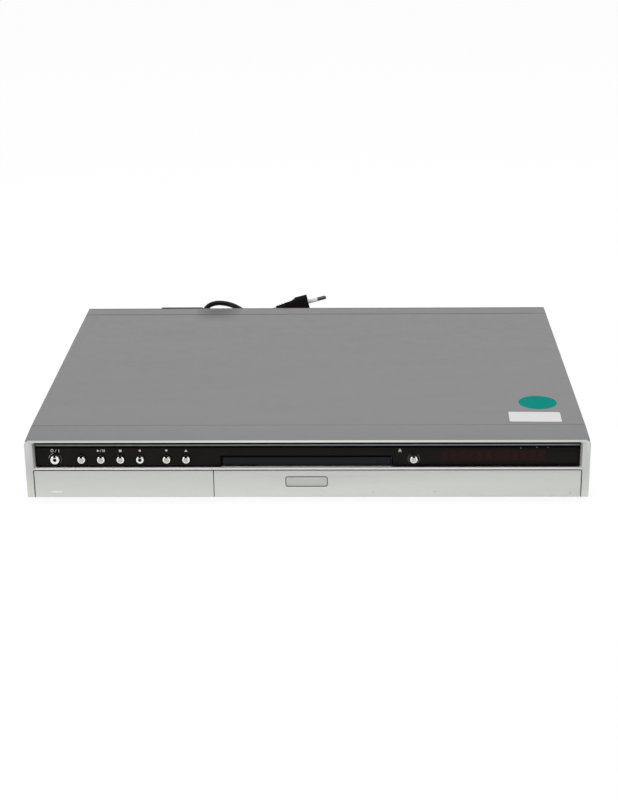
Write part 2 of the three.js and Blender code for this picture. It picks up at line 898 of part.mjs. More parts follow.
// The silver frame: a bevelled rim above, a pillar at each end and a thin ledge between. Its
// top corners are cut.
function makeFrame() {
  const half = unitWidth / 2;
  const flangeBottom = rimTop - flangeThick - seat;
  const rim = plate('yz', outline([
    [0, rimBottom],
    [0, rimTop - rimBevel],
    [rimBevel, rimTop],
    [rimBevel + rimLip, rimTop],
    [rimBevel + rimLip, flangeBottom],
    [frameDepth, flangeBottom],
    [frameDepth, rimBottom],
  ]), [-half, half]);
  const ledge = block(
    around(0, pillarInner + sink),
    [0, frameDepth],
    [ledgeTop - ledgeThick, ledgeTop],
  );
  const pillars = [-1, 1].map((side) => block(
    around(side * (half - pillarWidth / 2), pillarWidth / 2),
    [0, frameDepth],
    [frontBottom, rimBottom + sink],
  ));
  const drafts = [-1, 1].map((side) => plate('xy', outline([
    [side * pillarInner, 0],
    [side * (pillarInner + sink), frameDepth],
    [side * (pillarInner - pillarDraft), frameDepth],
  ]), [ledgeTop - ledgeThick, rimBottom + sink]));
  const envelope = plate('xy', outline([
    [-half, rimBevel],
    [rimBevel - half, 0],
    [half - rimBevel, 0],
    [half, rimBevel],
    [half, frameDepth],
    [-half, frameDepth],
  ]), [frontBottom, rimTop]);
  const face = plate('xz', outline([
    [-half, frontBottom],
    [half, frontBottom],
    [half, rimTop - frameCorner],
    [half - frameCorner, rimTop],
    [frameCorner - half, rimTop],
    [-half, rimTop - frameCorner],
  ]), [-overrun, frameDepth + overrun]);
  const pinHole = rod(
    'x',
    [doorAxisY, doorAxisZ],
    [-pillarInner - doorPinReach - seat, overrun - pillarInner],
    doorPinRadius + doorPinPlay,
  );
  const whole = join(rim, ledge, pillars, drafts).intersect(envelope).intersect(face);
  add('front_frame', cut(whole, pinHole), silverPlastic);
}

// The smoked strip, notched at its lower edge for the tray.
function makeWindow() {
  const strip = plate('xz', outline([
    [-windowHalf, windowBottom],
    [-slotHalf, windowBottom],
    [-slotHalf, slotTop],
    [slotHalf, slotTop],
    [slotHalf, windowBottom],
    [windowHalf, windowBottom],
    [windowHalf, windowTop],
    [-windowHalf, windowTop],
  ]), [windowRecess, windowRecess + windowThick]);
  const holes = buttonHoles([windowRecess - overrun, windowRecess + windowThick + overrun]);
  add('window_strip', cut(strip, holes), smokedPlastic);
}

// Eight domed caps, each with a flange that keeps it behind the fascia, and a stem to its switch.
function makeButtons() {
  const flangeFront = fasciaWallBack + seat;
  const stemEnd = frontBoardFront - switchHeight - buttonTravel - seat;
  for (const [name, x, radius] of buttons) {
    const profile = [
      [0, buttonFront],
      [radius * buttonTipShare, buttonFront + buttonDome * buttonTipDropShare],
      [radius * buttonShoulderShare, buttonFront + buttonDome * (1 - buttonTipDropShare)],
      [radius, buttonFront + 2 * buttonDome],
      [radius, flangeFront],
      [radius + buttonFlange, flangeFront],
      [radius + buttonFlange, flangeFront + buttonFlangeThick],
      [buttonStemRadius, flangeFront + buttonFlangeThick],
      [buttonStemRadius, stemEnd],
      [0, stemEnd],
    ];
    add(name, turned('y', [x, buttonZ], profile, buttonSides), buttonPlastic);
  }
}

// The board behind the window, with a switch for each button and a notch over the tray.
function makeFrontBoard() {
  const notchHalf = slotHalf + boardNotchGap;
  const notchTop = slotTop + boardNotchGap;
  const board = plate('xz', outline([
    [-frontBoardHalf, frontBoardBottom],
    [-notchHalf, frontBoardBottom],
    [-notchHalf, notchTop],
    [notchHalf, notchTop],
    [notchHalf, frontBoardBottom],
    [frontBoardHalf, frontBoardBottom],
    [frontBoardHalf, frontBoardTop],
    [-frontBoardHalf, frontBoardTop],
  ]), [frontBoardFront, frontBoardFront + boardSheet]);
  const switches = buttons.map(([, x]) => block(
    around(x, switchHalf),
    [frontBoardFront - switchHeight, frontBoardFront + sink],
    around(buttonZ, switchHalf),
  ));
  add('front_board', join(board, switches), boardBrown);
  const display = block(
    [displayLeft, displayRight],
    [fasciaWallBack + seat, frontBoardFront - seat],
    [displayBottom, displayTop],
  );
  add('display_module', display, blackPlastic);
}

// The silver lower panel, open at the back, with a shallow place for the badge plate.
function makeLowerPanel() {
  const left = doorSeamX + doorSeamHalf;
  const right = pillarInner - seat;
  const shell = block([left, right], [panelFront, panelBack], [frontBottom, panelTop]);
  const hollow = block(
    [left + panelWall, right - panelWall],
    [panelFront + panelThick, panelBack + overrun],
    [frontBottom + panelWall, panelTop - panelWall],
  );
  const badgeSpan = (grow) => roundedRect(
    around(badgeX, badgeWidth / 2 + grow),
    around(badgeZ, badgeHeight / 2 + grow),
    badgeCorner,
  );
  const recess = plate('xz', badgeSpan(0), [panelFront - overrun, panelFront + badgeRecess]);
  const pinHole = rod(
    'x',
    [doorAxisY, doorAxisZ],
    [left - overrun, left + panelWall + overrun],
    doorPinRadius + doorPinPlay,
  );
  add('lower_panel', cut(shell, hollow, recess, pinHole), silverPlastic);
  const badgeBack = panelFront + badgeRecess - seat;
  add('badge_plate', plate('xz', badgeSpan(-seat), [badgeBack - badgeThick, badgeBack]), silverPlastic);
}

// The flip-down door over the front sockets, on a pin at each lower corner.
function makeInputDoor() {
  const left = seat - pillarInner;
  const right = doorSeamX - doorSeamHalf;
  const panel = block([left, right], [panelFront, panelFront + panelThick], [frontBottom, panelTop]);
  const ears = [[left, left + doorEar], [right - doorEar, right]].map((x) => block(
    x,
    [panelFront + panelThick - sink, doorAxisY + doorEarBack],
    around(doorAxisZ, doorEarHalf),
  ));
  const pins = [
    [-pillarInner - doorPinReach, left + doorEar],
    [right - doorEar, doorSeamX + doorSeamHalf + panelWall],
  ].map((x) => rod('x', [doorAxisY, doorAxisZ], x, doorPinRadius));
  add('input_door', join(panel, ears, pins), silverPlastic);
}

// The socket plate behind the door, with its jacks and the body behind them.
function makeInputSockets() {
  const front = fasciaWallBack + seat;
  const back = front + socketPlateThick;
  const sheet = block(
    [socketPlateLeft, socketPlateRight],
    [front, back],
    [socketPlateBottom, socketPlateTop],
  );
  const body = block(
    [socketPlateLeft + socketPlateRim, socketPlateRight - socketPlateRim],
    [back - sink, back + socketBodyDepth],
    [socketPlateBottom, socketPlateTop],
  );
  const barrels = [];
  const bores = [];
  const along = (share) => socketPlateLeft + socketPlateWidth * share;
  for (const share of pinJackShares) {
    const centre = [along(share), socketRowZ];
    barrels.push(rod('y', centre, [socketFront, front + sink], pinJackRadius));
    bores.push(rod('y', centre, [socketFront - overrun, socketFront + pinJackDepth], pinJackBore));
  }
  const videoCentre = [along(videoJackShare), socketRowZ];
  barrels.push(rod('y', videoCentre, [videoJackFront, front + sink], videoJackRadius, roundSides));
  bores.push(rod(
    'y',
    videoCentre,
    [videoJackFront - overrun, videoJackFront + videoJackDepth],
    videoJackBore,
    roundSides,
  ));
  const holeSpan = [front - overrun, front + dataJackDepth];
  bores.push(block(
    around(along(linkJackShare), linkJackWidth / 2),
    holeSpan,
    around(socketRowZ, linkJackHeight / 2),
  ));
  bores.push(block(
    around(along(dataJackShare), dataJackWidth / 2),
    holeSpan,
    around(socketRowZ, dataJackHeight / 2),
  ));
  add('input_socket_panel', cut(join(sheet, body, barrels), bores), blackPlastic);
}

// A row of teeth for the rack, phased so that a gap lies level with the gear's axis at rest.
function rackTeeth(front, back) {
  const root = rackPitchX - toothDip;
  const tip = rackPitchX + toothRise;
  const teeth = [];
  const first = Math.ceil((front - gearY) / toothPitch + 1 / 2);
  const last = Math.floor((back - gearY) / toothPitch - 1 / 2);
  for (let i = first; i < last; i += 1) {
    const y = gearY + (i + 1 / 2) * toothPitch;
    teeth.push([root, y - toothRootWidth / 2]);
    teeth.push([tip, y - toothTipWidth / 2]);
    teeth.push([tip, y + toothTipWidth / 2]);
    teeth.push([root, y + toothRootWidth / 2]);
  }
  return teeth;
}

// The disc tray and its door. A slot for the spindle and pickup runs out of its back edge.
function makeTray() {
  const back = trayFront + trayLength;
  const plateSolid = block([-trayHalf, trayHalf], [trayFront, back], [trayPlateBottom, trayPlateTop]);
  const frontWall = block(
    [-trayHalf, trayHalf],
    [trayFront, trayFront + trayFrontWall],
    [trayBottom, trayWallTop],
  );
  const rails = [-1, 1].map((side) => block(
    around(side * (trayHalf - trayRail / 2), trayRail / 2),
    [trayFront, back],
    [trayBottom, trayPlateBottom + sink],
  ));
  const railInner = trayRail - trayHalf;
  const rackFront = trayFront + trayFrontWall;
  const rack = plate('xy', outline([
    [railInner - sink, rackFront],
    [rackPitchX - toothDip, rackFront],
    ...rackTeeth(rackFront, back),
    [rackPitchX - toothDip, back],
    [railInner - sink, back],
  ]), [trayBottom, trayPlateBottom + sink]);
  const centre = [0, discY];
  const recess = rod(
    'z',
    centre,
    [trayPlateTop - discRecessDepth, trayPlateTop + overrun],
    discRadius + discPlay,
    2 * roundSides,
  );
  const smallRecess = rod(
    'z',
    centre,
    [trayPlateTop - smallRecessDepth, trayPlateTop],
    smallDiscRadius,
    2 * roundSides,
  );
  const slotSpan = [trayPlateBottom - overrun, trayPlateTop + overrun];
  const slotRound = rod('z', centre, slotSpan, traySlotHalf, roundSides);
  const slotRun = block([-traySlotHalf, traySlotHalf], [discY, back + overrun], slotSpan);
  add(
    'disc_tray',
    cut(join(plateSolid, frontWall, rails, rack), recess, smallRecess, slotRound, slotRun),
    trayPlastic,
  );
  const door = block(
    [-trayDoorHalf, trayDoorHalf],
    [trayDoorFront, trayDoorFront + trayDoorThick],
    [trayDoorBottom, trayDoorBottom + trayDoorHeight],
  );
  add('tray_door', door, smokedPlastic);
}

// The moulded frame that the tray slides in, open in the middle for the traverse.
function makeLoaderFrame() {
  const floorTop = loaderDeck + loaderFloor;
  const floor = block([-loaderHalf, loaderHalf], [loaderStart, loaderBack], [loaderDeck, floorTop]);
  const opening = block(
    [-loaderOpeningHalf, loaderOpeningHalf],
    [loaderOpeningFront, loaderOpeningBack],
    [loaderDeck - overrun, floorTop + overrun],
  );
  const ribs = [];
  for (const side of [-1, 1]) {
    ribs.push(block(
      around(side * (loaderHalf - loaderWall / 2), loaderWall / 2),
      [loaderStart, loaderBack],
      [loaderDeck, loaderTop],
    ));
    const guide = around(side * (loaderHalf - loaderWall - guideWidth / 2), guideWidth / 2 + sink);
    const low = trayBottom - seat;
    const high = trayWallTop + seat;
    ribs.push(block(guide, [loaderStart, loaderBack], [low - guideHeight, low]));
    ribs.push(block(guide, [loaderStart, loaderBack], [high, high + guideHeight]));
    const bracketX = traverseHalf + pivotArm + 2 * runningGap + pivotBracket / 2;
    ribs.push(cut(
      block(
        around(side * bracketX, pivotBracket / 2),
        around(pivotY, pivotRadius + pivotArm),
        [floorTop - sink, pivotZ + pivotRadius + pivotArm],
      ),
      rod(
        'x',
        [pivotY, pivotZ],
        around(side * bracketX, pivotBracket / 2 + overrun),
        pivotRadius + seat,
      ),
    ));
  }
  ribs.push(block(
    [-loaderHalf, loaderHalf],
    [loaderBack - loaderWall, loaderBack],
    [loaderDeck, loaderTop],
  ));
  const gearPost = join(
    rod('z', [gearX, gearY], [floorTop - sink, pulleyBottom - seat], gearShoulderRadius),
    rod('z', [gearX, gearY], [floorTop - sink, trayPlateBottom - 2 * seat], gearPinRadius),
  );
  add('loader_frame', join(cut(floor, opening), ribs, gearPost), whitePlastic);
}

// A grooved belt pulley on an axis along Z.
function pulley(centre, radius, bore) {
  const top = pulleyBottom + pulleyHeight;
  return turned('z', centre, [
    [bore, pulleyBottom],
    [radius, pulleyBottom],
    [radius, pulleyBottom + pulleyFlange],
    [radius - pulleyGroove, pulleyBottom + pulleyFlange],
    [radius - pulleyGroove, top - pulleyFlange],
    [radius, top - pulleyFlange],
    [radius, top],
    [bore, top],
    [bore, pulleyBottom],
  ]);
}

// The outline of a belt that wraps two round pulleys.
function beltOutline(grow) {
  const big = bigPulleyRadius - pulleyGroove + grow;
  const small = smallPulleyRadius - pulleyGroove + grow;
  const lean = Math.acos((big - small) / motorFromGear);
  const points = [];
  const sweep = (x, radius, from, to) => {
    for (let i = 0; i <= smallSides; i += 1) {
      const angle = from + ((to - from) * i) / smallSides;
      points.push([x + radius * Math.cos(angle), gearY + radius * Math.sin(angle)]);
    }
  };
  sweep(gearX, big, lean, 2 * Math.PI - lean);
  sweep(gearX + motorFromGear, small, -lean, lean);
  return outline(points);
}

// The loading train: motor, belt and the gear that drives the tray's rack.
function makeLoadingDrive() {
  const centre = [gearX, gearY];
  const bore = gearPinRadius + seat;
  const pinionBottom = trayPlateBottom - seat - gearThick;
  const rootRadius = gearPitchRadius - toothDip;
  const tipRadius = gearPitchRadius + toothRise;
  const points = [];
  for (let i = 0; i < gearTeeth; i += 1) {
    const middle = Math.PI + (2 * Math.PI * i) / gearTeeth;
    const rootAngle = toothRootWidth / 2 / rootRadius;
    const tipAngle = toothTipWidth / 2 / tipRadius;
    for (const [radius, angle] of [
      [rootRadius, -rootAngle],
      [tipRadius, -tipAngle],
      [tipRadius, tipAngle],
      [rootRadius, rootAngle],
    ]) {
      points.push([
        gearX + radius * Math.cos(middle + angle),
        gearY + radius * Math.sin(middle + angle),
      ]);
    }
  }
  const pinion = plate('xy', outline(points), [pinionBottom, pinionBottom + gearThick]);
  const hub = rod('z', centre, [pulleyBottom, pinionBottom + sink], gearHubRadius);
  const boreSpan = [pulleyBottom - overrun, pinionBottom + gearThick + overrun];
  const gear = cut(
    join(pulley(centre, bigPulleyRadius, bore), hub, pinion),
    rod('z', centre, boreSpan, bore),
  );
  add('drive_gear', gear, whitePlastic);

  const motorCentre = [gearX + motorFromGear, gearY];
  const shaftTop = pulleyBottom + pulleyHeight;
  const motor = join(
    rod(
      'z',
      motorCentre,
      [loaderDeck + loaderFloor + seat, pulleyBottom - seat],
      loadingMotorRadius,
      roundSides,
    ),
    rod('z', motorCentre, [loaderDeck + loaderFloor + overrun, shaftTop], motorShaftRadius),
  );
  add('loading_motor', motor, brightSteel);
  add('motor_pulley', pulley(motorCentre, smallPulleyRadius, motorShaftRadius + seat), whitePlastic);

  const beltShape = beltOutline(seat + beltThick);
  beltShape.holes.push(beltOutline(seat));
  const beltSpan = [pulleyBottom + pulleyFlange + seat, shaftTop - pulleyFlange - seat];
  add('drive_belt', plate('xy', beltShape, beltSpan), beltRubber);
}

// The steel traverse plate, hinged at its back, with its rod blocks and arms.
function makeTraverse() {
  const sheet = block(
    [-traverseHalf, traverseHalf],
    [traverseFront, traverseBack],
    [traverseBottom, traverseTop],
  );
  const window = block(
    [-traverseWindowHalf, traverseWindowHalf],
    [traverseWindowFront, traverseWindowBack],
    [traverseBottom - overrun, traverseTop + overrun],
  );
  const parts = [];
  for (const side of [-1, 1]) {
    const armInner = side * traverseHalf;
    const armOuter = side * (traverseHalf + pivotArm);
    const armX = [Math.min(armInner, armOuter), Math.max(armInner, armOuter)];
    parts.push(block(
      armX,
      [pivotY - pivotArmReach, pivotY + pivotArmReach],
      [pivotArmBottom, traverseTop],
    ));
    const armRoot = armInner - side * pivotArm;
    const rootX = [Math.min(armRoot, armOuter), Math.max(armRoot, armOuter)];
    parts.push(block(
      rootX,
      [traverseBack - 2 * pivotArm, pivotY - pivotArmReach + sink],
      [traverseBottom, traverseTop],
    ));
    const tip = side * (traverseHalf + pivotArm + pivotLength);
    const pinX = [Math.min(armInner, tip), Math.max(armInner, tip)];
    parts.push(rod('x', [pivotY, pivotZ], pinX, pivotRadius));
    parts.push(block(
      around(side * rodX, rodBlockHalf),
      [rodStart, rodStart + rodBlockThick],
      [traverseTop - sink, rodBlockTop],
    ));
  }
  parts.push(block(
    around(-rodX, rodBlockHalf),
    [rodEnd, rodEnd + rodBlockThick],
    [traverseTop - sink, rodBlockTop],
  ));
  add('traverse_frame', join(cut(sheet, window), parts), zincSteel);

  const rodSpan = [rodStart + rodBlockThick + seat, rodEnd - seat];
  add('guide_rod', rod('y', [-rodX, rodZ], rodSpan, rodRadius), brightSteel);
  add('lead_screw', rod('y', [rodX, rodZ], rodSpan, rodRadius), brass);
  add('sled_motor', block(
    around(rodX, sledMotorHalf),
    [rodEnd, rodEnd + sledMotorLength],
    [traverseTop + seat, sledMotorTop],
  ), blackPlastic);
}

// The spindle motor and the turntable that centres and carries the disc.
function makeSpindle() {
  const centre = [0, discY];
  const motorBottom = traverseTop + seat;
  const motorTop = motorBottom + spindleMotorHeight;
  add('spindle_motor', rod('z', centre, [motorBottom, motorTop], spindleMotorRadius, roundSides), brightSteel);
  add('turntable', turned('z', centre, [
    [0, motorTop + seat],
    [turntableNeckRadius, motorTop + seat],
    [turntableNeckRadius, turntableTop - turntableRim],
    [turntableRadius, turntableTop - turntableRim],
    [turntableRadius, turntableTop],
    [hubRadius, turntableTop],
    [hubTipRadius, hubTop],
    [0, hubTop],
  ]), blackPlastic);
}

// The optical pickup, which rides on the guide rod and the lead screw.
function makePickup() {
  const lensY = discY + pickupFromDisc;
  const body = block(
    [-pickupHalf, pickupHalf],
    [pickupFront, pickupFront + pickupLength],
    [traverseTop + seat, pickupTop],
  );
  const bores = [-1, 1].map((side) => rod(
    'y',
    [side * rodX, rodZ],
    [pickupFront - overrun, pickupFront + pickupLength + overrun],
    rodRadius + seat,
  ));
  const tower = block(
    [-pickupTowerHalf, pickupTowerHalf],
    [lensY - pickupTowerAhead, lensY + pickupTowerBehind],
    [pickupTop - sink, pickupTowerTop],
  );
  const lens = rod('z', [0, lensY], [pickupTowerTop - sink, lensTop], lensRadius);
  add('optical_pickup', join(cut(body, bores), tower, lens), blackPlastic);
}

// The steel bridge over the loader, and the magnetic puck that hangs in it.
function makeClamp() {
  const centre = [0, discY];
  const bottom = loaderTop + seat;
  const bridge = cut(
    block(
      [-loaderHalf, loaderHalf],
      around(discY, bridgeWidth / 2),
      [bottom, bottom + bridgeSheet],
    ),
    rod(
      'z',
      centre,
      [bottom - overrun, bottom + bridgeSheet + overrun],
      puckNeckRadius + runningGap,
      roundSides,
    ),
  );
  add('clamp_bridge', bridge, zincSteel);
  const capBottom = bottom + bridgeSheet + seat;
  add('clamp_puck', turned('z', centre, [
    [0, puckBottom + puckHollowDepth],
    [puckHollowRadius, puckBottom + puckHollowDepth],
    [puckHollowRadius, puckBottom],
    [puckRingRadius, puckBottom],
    [puckRingRadius, puckBottom + puckRing],
    [puckNeckRadius, puckBottom + puckRing],
    [puckNeckRadius, capBottom],
    [puckFlangeRadius, capBottom],
    [puckFlangeRadius, capBottom + puckCap],
    [0, capBottom + puckCap],
  ]), whitePlastic);
}

// The hard drive in its folded bracket.
function makeHardDrive() {
  const bottom = loaderDeck + bracketSheet + seat;
  const half = driveWidth / 2;
  const span = [driveFront, driveFront + driveLength];
  const drive = plate('xz', outline([
    [driveX - half, bottom],
    [driveX + half, bottom],
    [driveX + half, bottom + driveHeight - driveEdge],
    [driveX + half - driveEdge, bottom + driveHeight],
    [driveX - half + driveEdge, bottom + driveHeight],
    [driveX - half, bottom + driveHeight - driveEdge],
  ]), span);
  add('hard_drive', drive, aluminium);
  const outer = half + seat + bracketSheet;
  const bracket = cut(
    block(around(driveX, outer), span, [loaderDeck, loaderDeck + bracketSideHeight]),
    block(
      around(driveX, half + seat),
      [span[0] - overrun, span[1] + overrun],
      [loaderDeck + bracketSheet, loaderDeck + bracketSideHeight + overrun],
    ),
  );
  add('hard_drive_bracket', bracket, zincSteel);
}

// The power board with its capacitors and transformer, and the finned heat sink on it.
function makePowerBoard() {
  const board = block(
    [powerBoardLeft, powerBoardRight],
    [powerBoardFront, powerBoardBack],
    [boardDeck, boardTop],
  );
  const capacitorX = powerBoardRight - capacitorFromLoader;
  const transformerX = powerBoardLeft + transformerFromSide;
  const heatSinkX = powerBoardLeft + heatSinkFromSide;
  const capacitors = [];
  for (let i = 0; i < capacitorCount; i += 1) {
    capacitors.push(rod(
      'z',
      [capacitorX, capacitorY + i * capacitorPitch],
      [boardTop - sink, boardTop + capacitorHeight],
      capacitorRadius,
    ));
  }
  const winding = block(
    around(transformerX, transformerWidth / 2),
    around(transformerY, transformerLength / 2),
    [boardTop - sink, boardTop + transformerHeight * (1 - transformerEndShare)],
  );
  const core = block(
    around(transformerX, (transformerWidth * transformerCoreShare) / 2),
    around(transformerY, transformerLength / 2 + standoffRadius),
    [boardTop - sink, boardTop + transformerHeight],
  );
  add('power_board', join(board, capacitors, winding, core), boardBrown);
  const foot = boardTop + seat;
  const sinkBase = block(
    around(heatSinkX, heatSinkWidth / 2),
    around(heatSinkY, heatSinkLength / 2),
    [foot, foot + heatSinkBase],
  );
  const fins = [];
  for (let i = 0; i < heatSinkFins; i += 1) {
    const x = heatSinkX + (heatSinkWidth - heatSinkFin) * (i / (heatSinkFins - 1) - 1 / 2);
    fins.push(block(
      around(x, heatSinkFin / 2),
      around(heatSinkY, heatSinkLength / 2),
      [foot + heatSinkBase - sink, foot + heatSinkHeight],
    ));
  }
  add('heat_sink', join(sinkBase, fins), aluminium);
}

// The main board along the back, with its large chips.
function makeMainBoard() {
  const board = block(
    [mainBoardLeft, mainBoardRight],
    [mainBoardFront, mainBoardBack],
    [boardDeck, boardTop],
  );
  const chipY = mainBoardFront + (mainBoardBack - mainBoardFront) * chipDepthShare;
  const chips = [];
  for (let i = 0; i < chipCount; i += 1) {
    chips.push(block(
      around(chipX + (i - 1) * chipPitch, chipHalf),
      around(chipY, chipHalf),
      [boardTop - sink, boardTop + chipHeight],
    ));
  }
  add('main_board', join(board, chips), boardGreen);
}

// The rear sockets, which stand on the main board and show through the rear panel.
function makeRearSockets() {
  const scarts = { scart_socket_one: scartOneX, scart_socket_two: scartTwoX };
  for (const [name, x] of Object.entries(scarts)) {
    const back = rearBack + scartProud;
    const body = block(
      around(x, scartWidth / 2),
      [rearBack - scartBodyDepth, back],
      [rearSocketBottom, rearSocketBottom + scartHeight],
    );
    const low = rearSocketBottom + (scartHeight - scartCavityHeight) / 2;
    const high = low + scartCavityHeight;
    const half = scartCavityWidth / 2;
    const cavity = plate('xz', outline([
      [x - half, low],
      [x + half - scartSlant, low],
      [x + half, low + scartSlant],
      [x + half, high],
      [x - half, high],
    ]), [back - scartCavityDepth, back + overrun]);
    add(name, cut(body, cavity), blackPlastic);
  }

  const jackZ = rearSocketBottom + jackBlockHeight / 2;
  const jackBody = block(
    around(jackBlockX, jackBlockWidth / 2),
    [rearBack - jackBlockDepth, rearBack + seat],
    around(jackZ, jackBlockHeight / 2),
  );
  const barrels = [];
  const bores = [];
  for (let row = 0; row < jackRows; row += 1) {
    for (let column = 0; column < jackColumns; column += 1) {
      const centre = [
        jackBlockX + (column - (jackColumns - 1) / 2) * jackPitch,
        jackZ + (row - (jackRows - 1) / 2) * jackRowPitch,
      ];
      const tip = rearBack + jackProud;
      barrels.push(rod('y', centre, [rearBack, tip], pinJackRadius));
      bores.push(rod('y', centre, [tip - pinJackDepth, tip + overrun], pinJackBore));
    }
  }
  add('jack_block', cut(join(jackBody, barrels), bores), blackPlastic);

  const tunerZ = rearSocketBottom + tunerHeight / 2;
  const can = block(
    around(tunerX, tunerWidth / 2),
    [rearBack - tunerDepth, rearBack],
    around(tunerZ, tunerHeight / 2),
  );
  const aerials = [-1, 1].map((side) => {
    const centre = [tunerX, tunerZ + (side * aerialPitch) / 2];
    const tip = rearBack + aerialProud;
    return cut(
      rod('y', centre, [rearBack - sink, tip], aerialRadius),
      rod('y', centre, [tip - aerialDepth, tip + overrun], aerialBore),
    );
  });
  add('aerial_tuner', join(can, aerials), brightSteel);
}

// The small fan outside the rear panel: housing, rotor and flat wire guard.
function makeFan() {
  const centre = [fanX, fanZ];
  const half = fanSize / 2;
  const shell = cut(
    plate('xz', roundedRect(around(fanX, half), around(fanZ, half), guardCorner), [fanFront, fanBack]),
    rod('y', centre, [fanFront - overrun, fanBack + overrun], fanBoreRadius, roundSides),
  );
  const strutSpan = [fanFront, fanFront + fanStrutThick];
  const reach = fanBoreRadius + sink;
  const struts = [
    block(around(fanX, reach), strutSpan, around(fanZ, fanStrut / 2)),
    block(around(fanX, fanStrut / 2), strutSpan, around(fanZ, reach)),
    rod('y', centre, strutSpan, fanHubRadius),
  ];
  add('fan_housing', join(shell, struts), blackPlastic);

  const rotorFront = fanFront + fanStrutThick + seat;
  const rotorBack = fanBack - seat;
  const hub = rod('y', centre, [rotorFront, rotorBack], fanHubRadius);
  const blades = [];
  for (let i = 0; i < fanBladeCount; i += 1) {
    const root = fanHubRadius - overrun;
    const blade = new THREE.BoxGeometry(fanBladeReach - root, fanBladeDepth, fanBladeThick);
    blade.rotateX(THREE.MathUtils.degToRad(fanBladeTwist));
    blade.translate((fanBladeReach + root) / 2, 0, 0);
    blade.rotateY((2 * Math.PI * i) / fanBladeCount);
    blade.translate(fanX, (rotorFront + rotorBack) / 2, fanZ);
    blades.push(solidOf(blade));
  }
  add('fan_rotor', join(hub, blades), blackPlastic);

  const guardSpan = [fanBack + seat, unitBack];
  const rings = [];
  for (let i = 1; i <= guardRings; i += 1) {
    const radius = (fanBoreRadius * i) / guardRings;
    rings.push(cut(
      rod('y', centre, guardSpan, radius, roundSides),
      rod('y', centre, [guardSpan[0] - overrun, guardSpan[1] + overrun], radius - guardWire, roundSides),
    ));
  }
  const bars = [-1, 1].map((side) => {
    const bar = new THREE.BoxGeometry(Math.SQRT2 * (fanSize - 2 * guardCorner), guardThick, 2 * guardWire);
    bar.rotateY((side * Math.PI) / 4);
    bar.translate(fanX, (guardSpan[0] + guardSpan[1]) / 2, fanZ);
    return solidOf(bar);
  });
  add('fan_guard', join(rings, bars), brightSteel);
}

// The route of the cord from the gland to its coil: out of the gland, over in a low arch, down to
// the floor and round to the coil. The points are chosen by hand.
const leadRoute = [
  [-70, 362.7, 38],
  [-70, 369, 38],
  [-71.6, 376.2, 38.6],
  [-76, 383.2, 40],
  [-83, 388.4, 41.8],
  [-91, 390.8, 43],
  [-98.5, 391.2, 43],
  [-105.4, 391.3, 40.2],
  [-110.2, 391.3, 34.2],
  [-112.8, 391.3, 26.6],
  [-114.8, 391.3, 18.8],
  [-119.2, 391.3, 11.4],
  [-125.6, 391.3, 5.9],
  [-132.6, 391.3, 3.4],
  [-141, 391.5, 3],
  [-158.8, 396.3, 3],
  [-172.6, 410.1, 3],
  [-177.6, 428.9, 3],
  [-172.6, 447.7, 3],
  [-158.8, 461.5, 3],
  [-140, 466.5, 3],
  [-115, 466.5, 3],
  [-90, 466.5, 3],
  [-66, 466.5, 3],
  [-47, 466.5, 3],
  [-40.3, 466.5, 3],
];

// The route from the coil's upper end round and up into the plug's guard.
const tailRoute = [
  [-69.26, 416.34, 8.6],
  [-70.8, 419, 8.6],
  [-73.5, 429, 9.4],
  [-70.8, 439, 11.9],
  [-63.5, 446.3, 14.1],
  [-53.5, 449, 14.75],
  [-49, 449, 15.3],
  [-44.8, 449, 16.3],
];

function routeCurve(route) {
  return new THREE.CatmullRomCurve3(route.map((point) => new THREE.Vector3(...point)));
}

// A tube along a route that isn't coiled.
function routeTube(route) {
  const curve = routeCurve(route);
  const section = new THREE.Shape();
  for (let i = 0; i < cordSides; i += 1) {
    const angle = (2 * Math.PI * i) / cordSides;
    const [x, y] = [cordRadius * Math.cos(angle), cordRadius * Math.sin(angle)];
    if (i === 0) section.moveTo(x, y);
    else section.lineTo(x, y);
  }
  section.closePath();
  const steps = Math.ceil(curve.getLength() / (2 * cordDiameter));
  const geometry = new THREE.ExtrudeGeometry(section, {
    steps,
    bevelEnabled: false,
    extrudePath: curve,
  });
  return { solid: solidOf(geometry), length: curve.getLength() };
}

// The coil's centreline: in and out again at a steady rate, in two layers, climbing in the half
// turn where the spiral reverses. A straight stretch of one diameter leads in and out.
function coilPoints() {
  const count = Math.round(coilTurns * loopSteps);
  const points = [];
  for (let i = 0; i <= count; i += 1) {
    const turn = (coilTurns * i) / count;
    const radius = coilRadius - coilPitch * Math.min(turn, coilTurns - turn);
    const climb = THREE.MathUtils.clamp((turn - coilTurns / 2) * 2 + 1 / 2, 0, 1);
    const angle = THREE.MathUtils.degToRad(coilStartAngle - 360 * turn);
    points.push(new THREE.Vector3(
      coilX + radius * Math.cos(angle),
      coilY + radius * Math.sin(angle),
      coilLow + coilLayer * climb,
    ));
  }
  const first = points[0].clone().add(new THREE.Vector3(-cordDiameter, 0, 0));
  const endAngle = THREE.MathUtils.degToRad(coilEndAngle);
  const away = new THREE.Vector3(Math.sin(endAngle), -Math.cos(endAngle), 0);
  const last = points[points.length - 1].clone().add(away.multiplyScalar(cordDiameter));
  return [first, ...points, last];
}

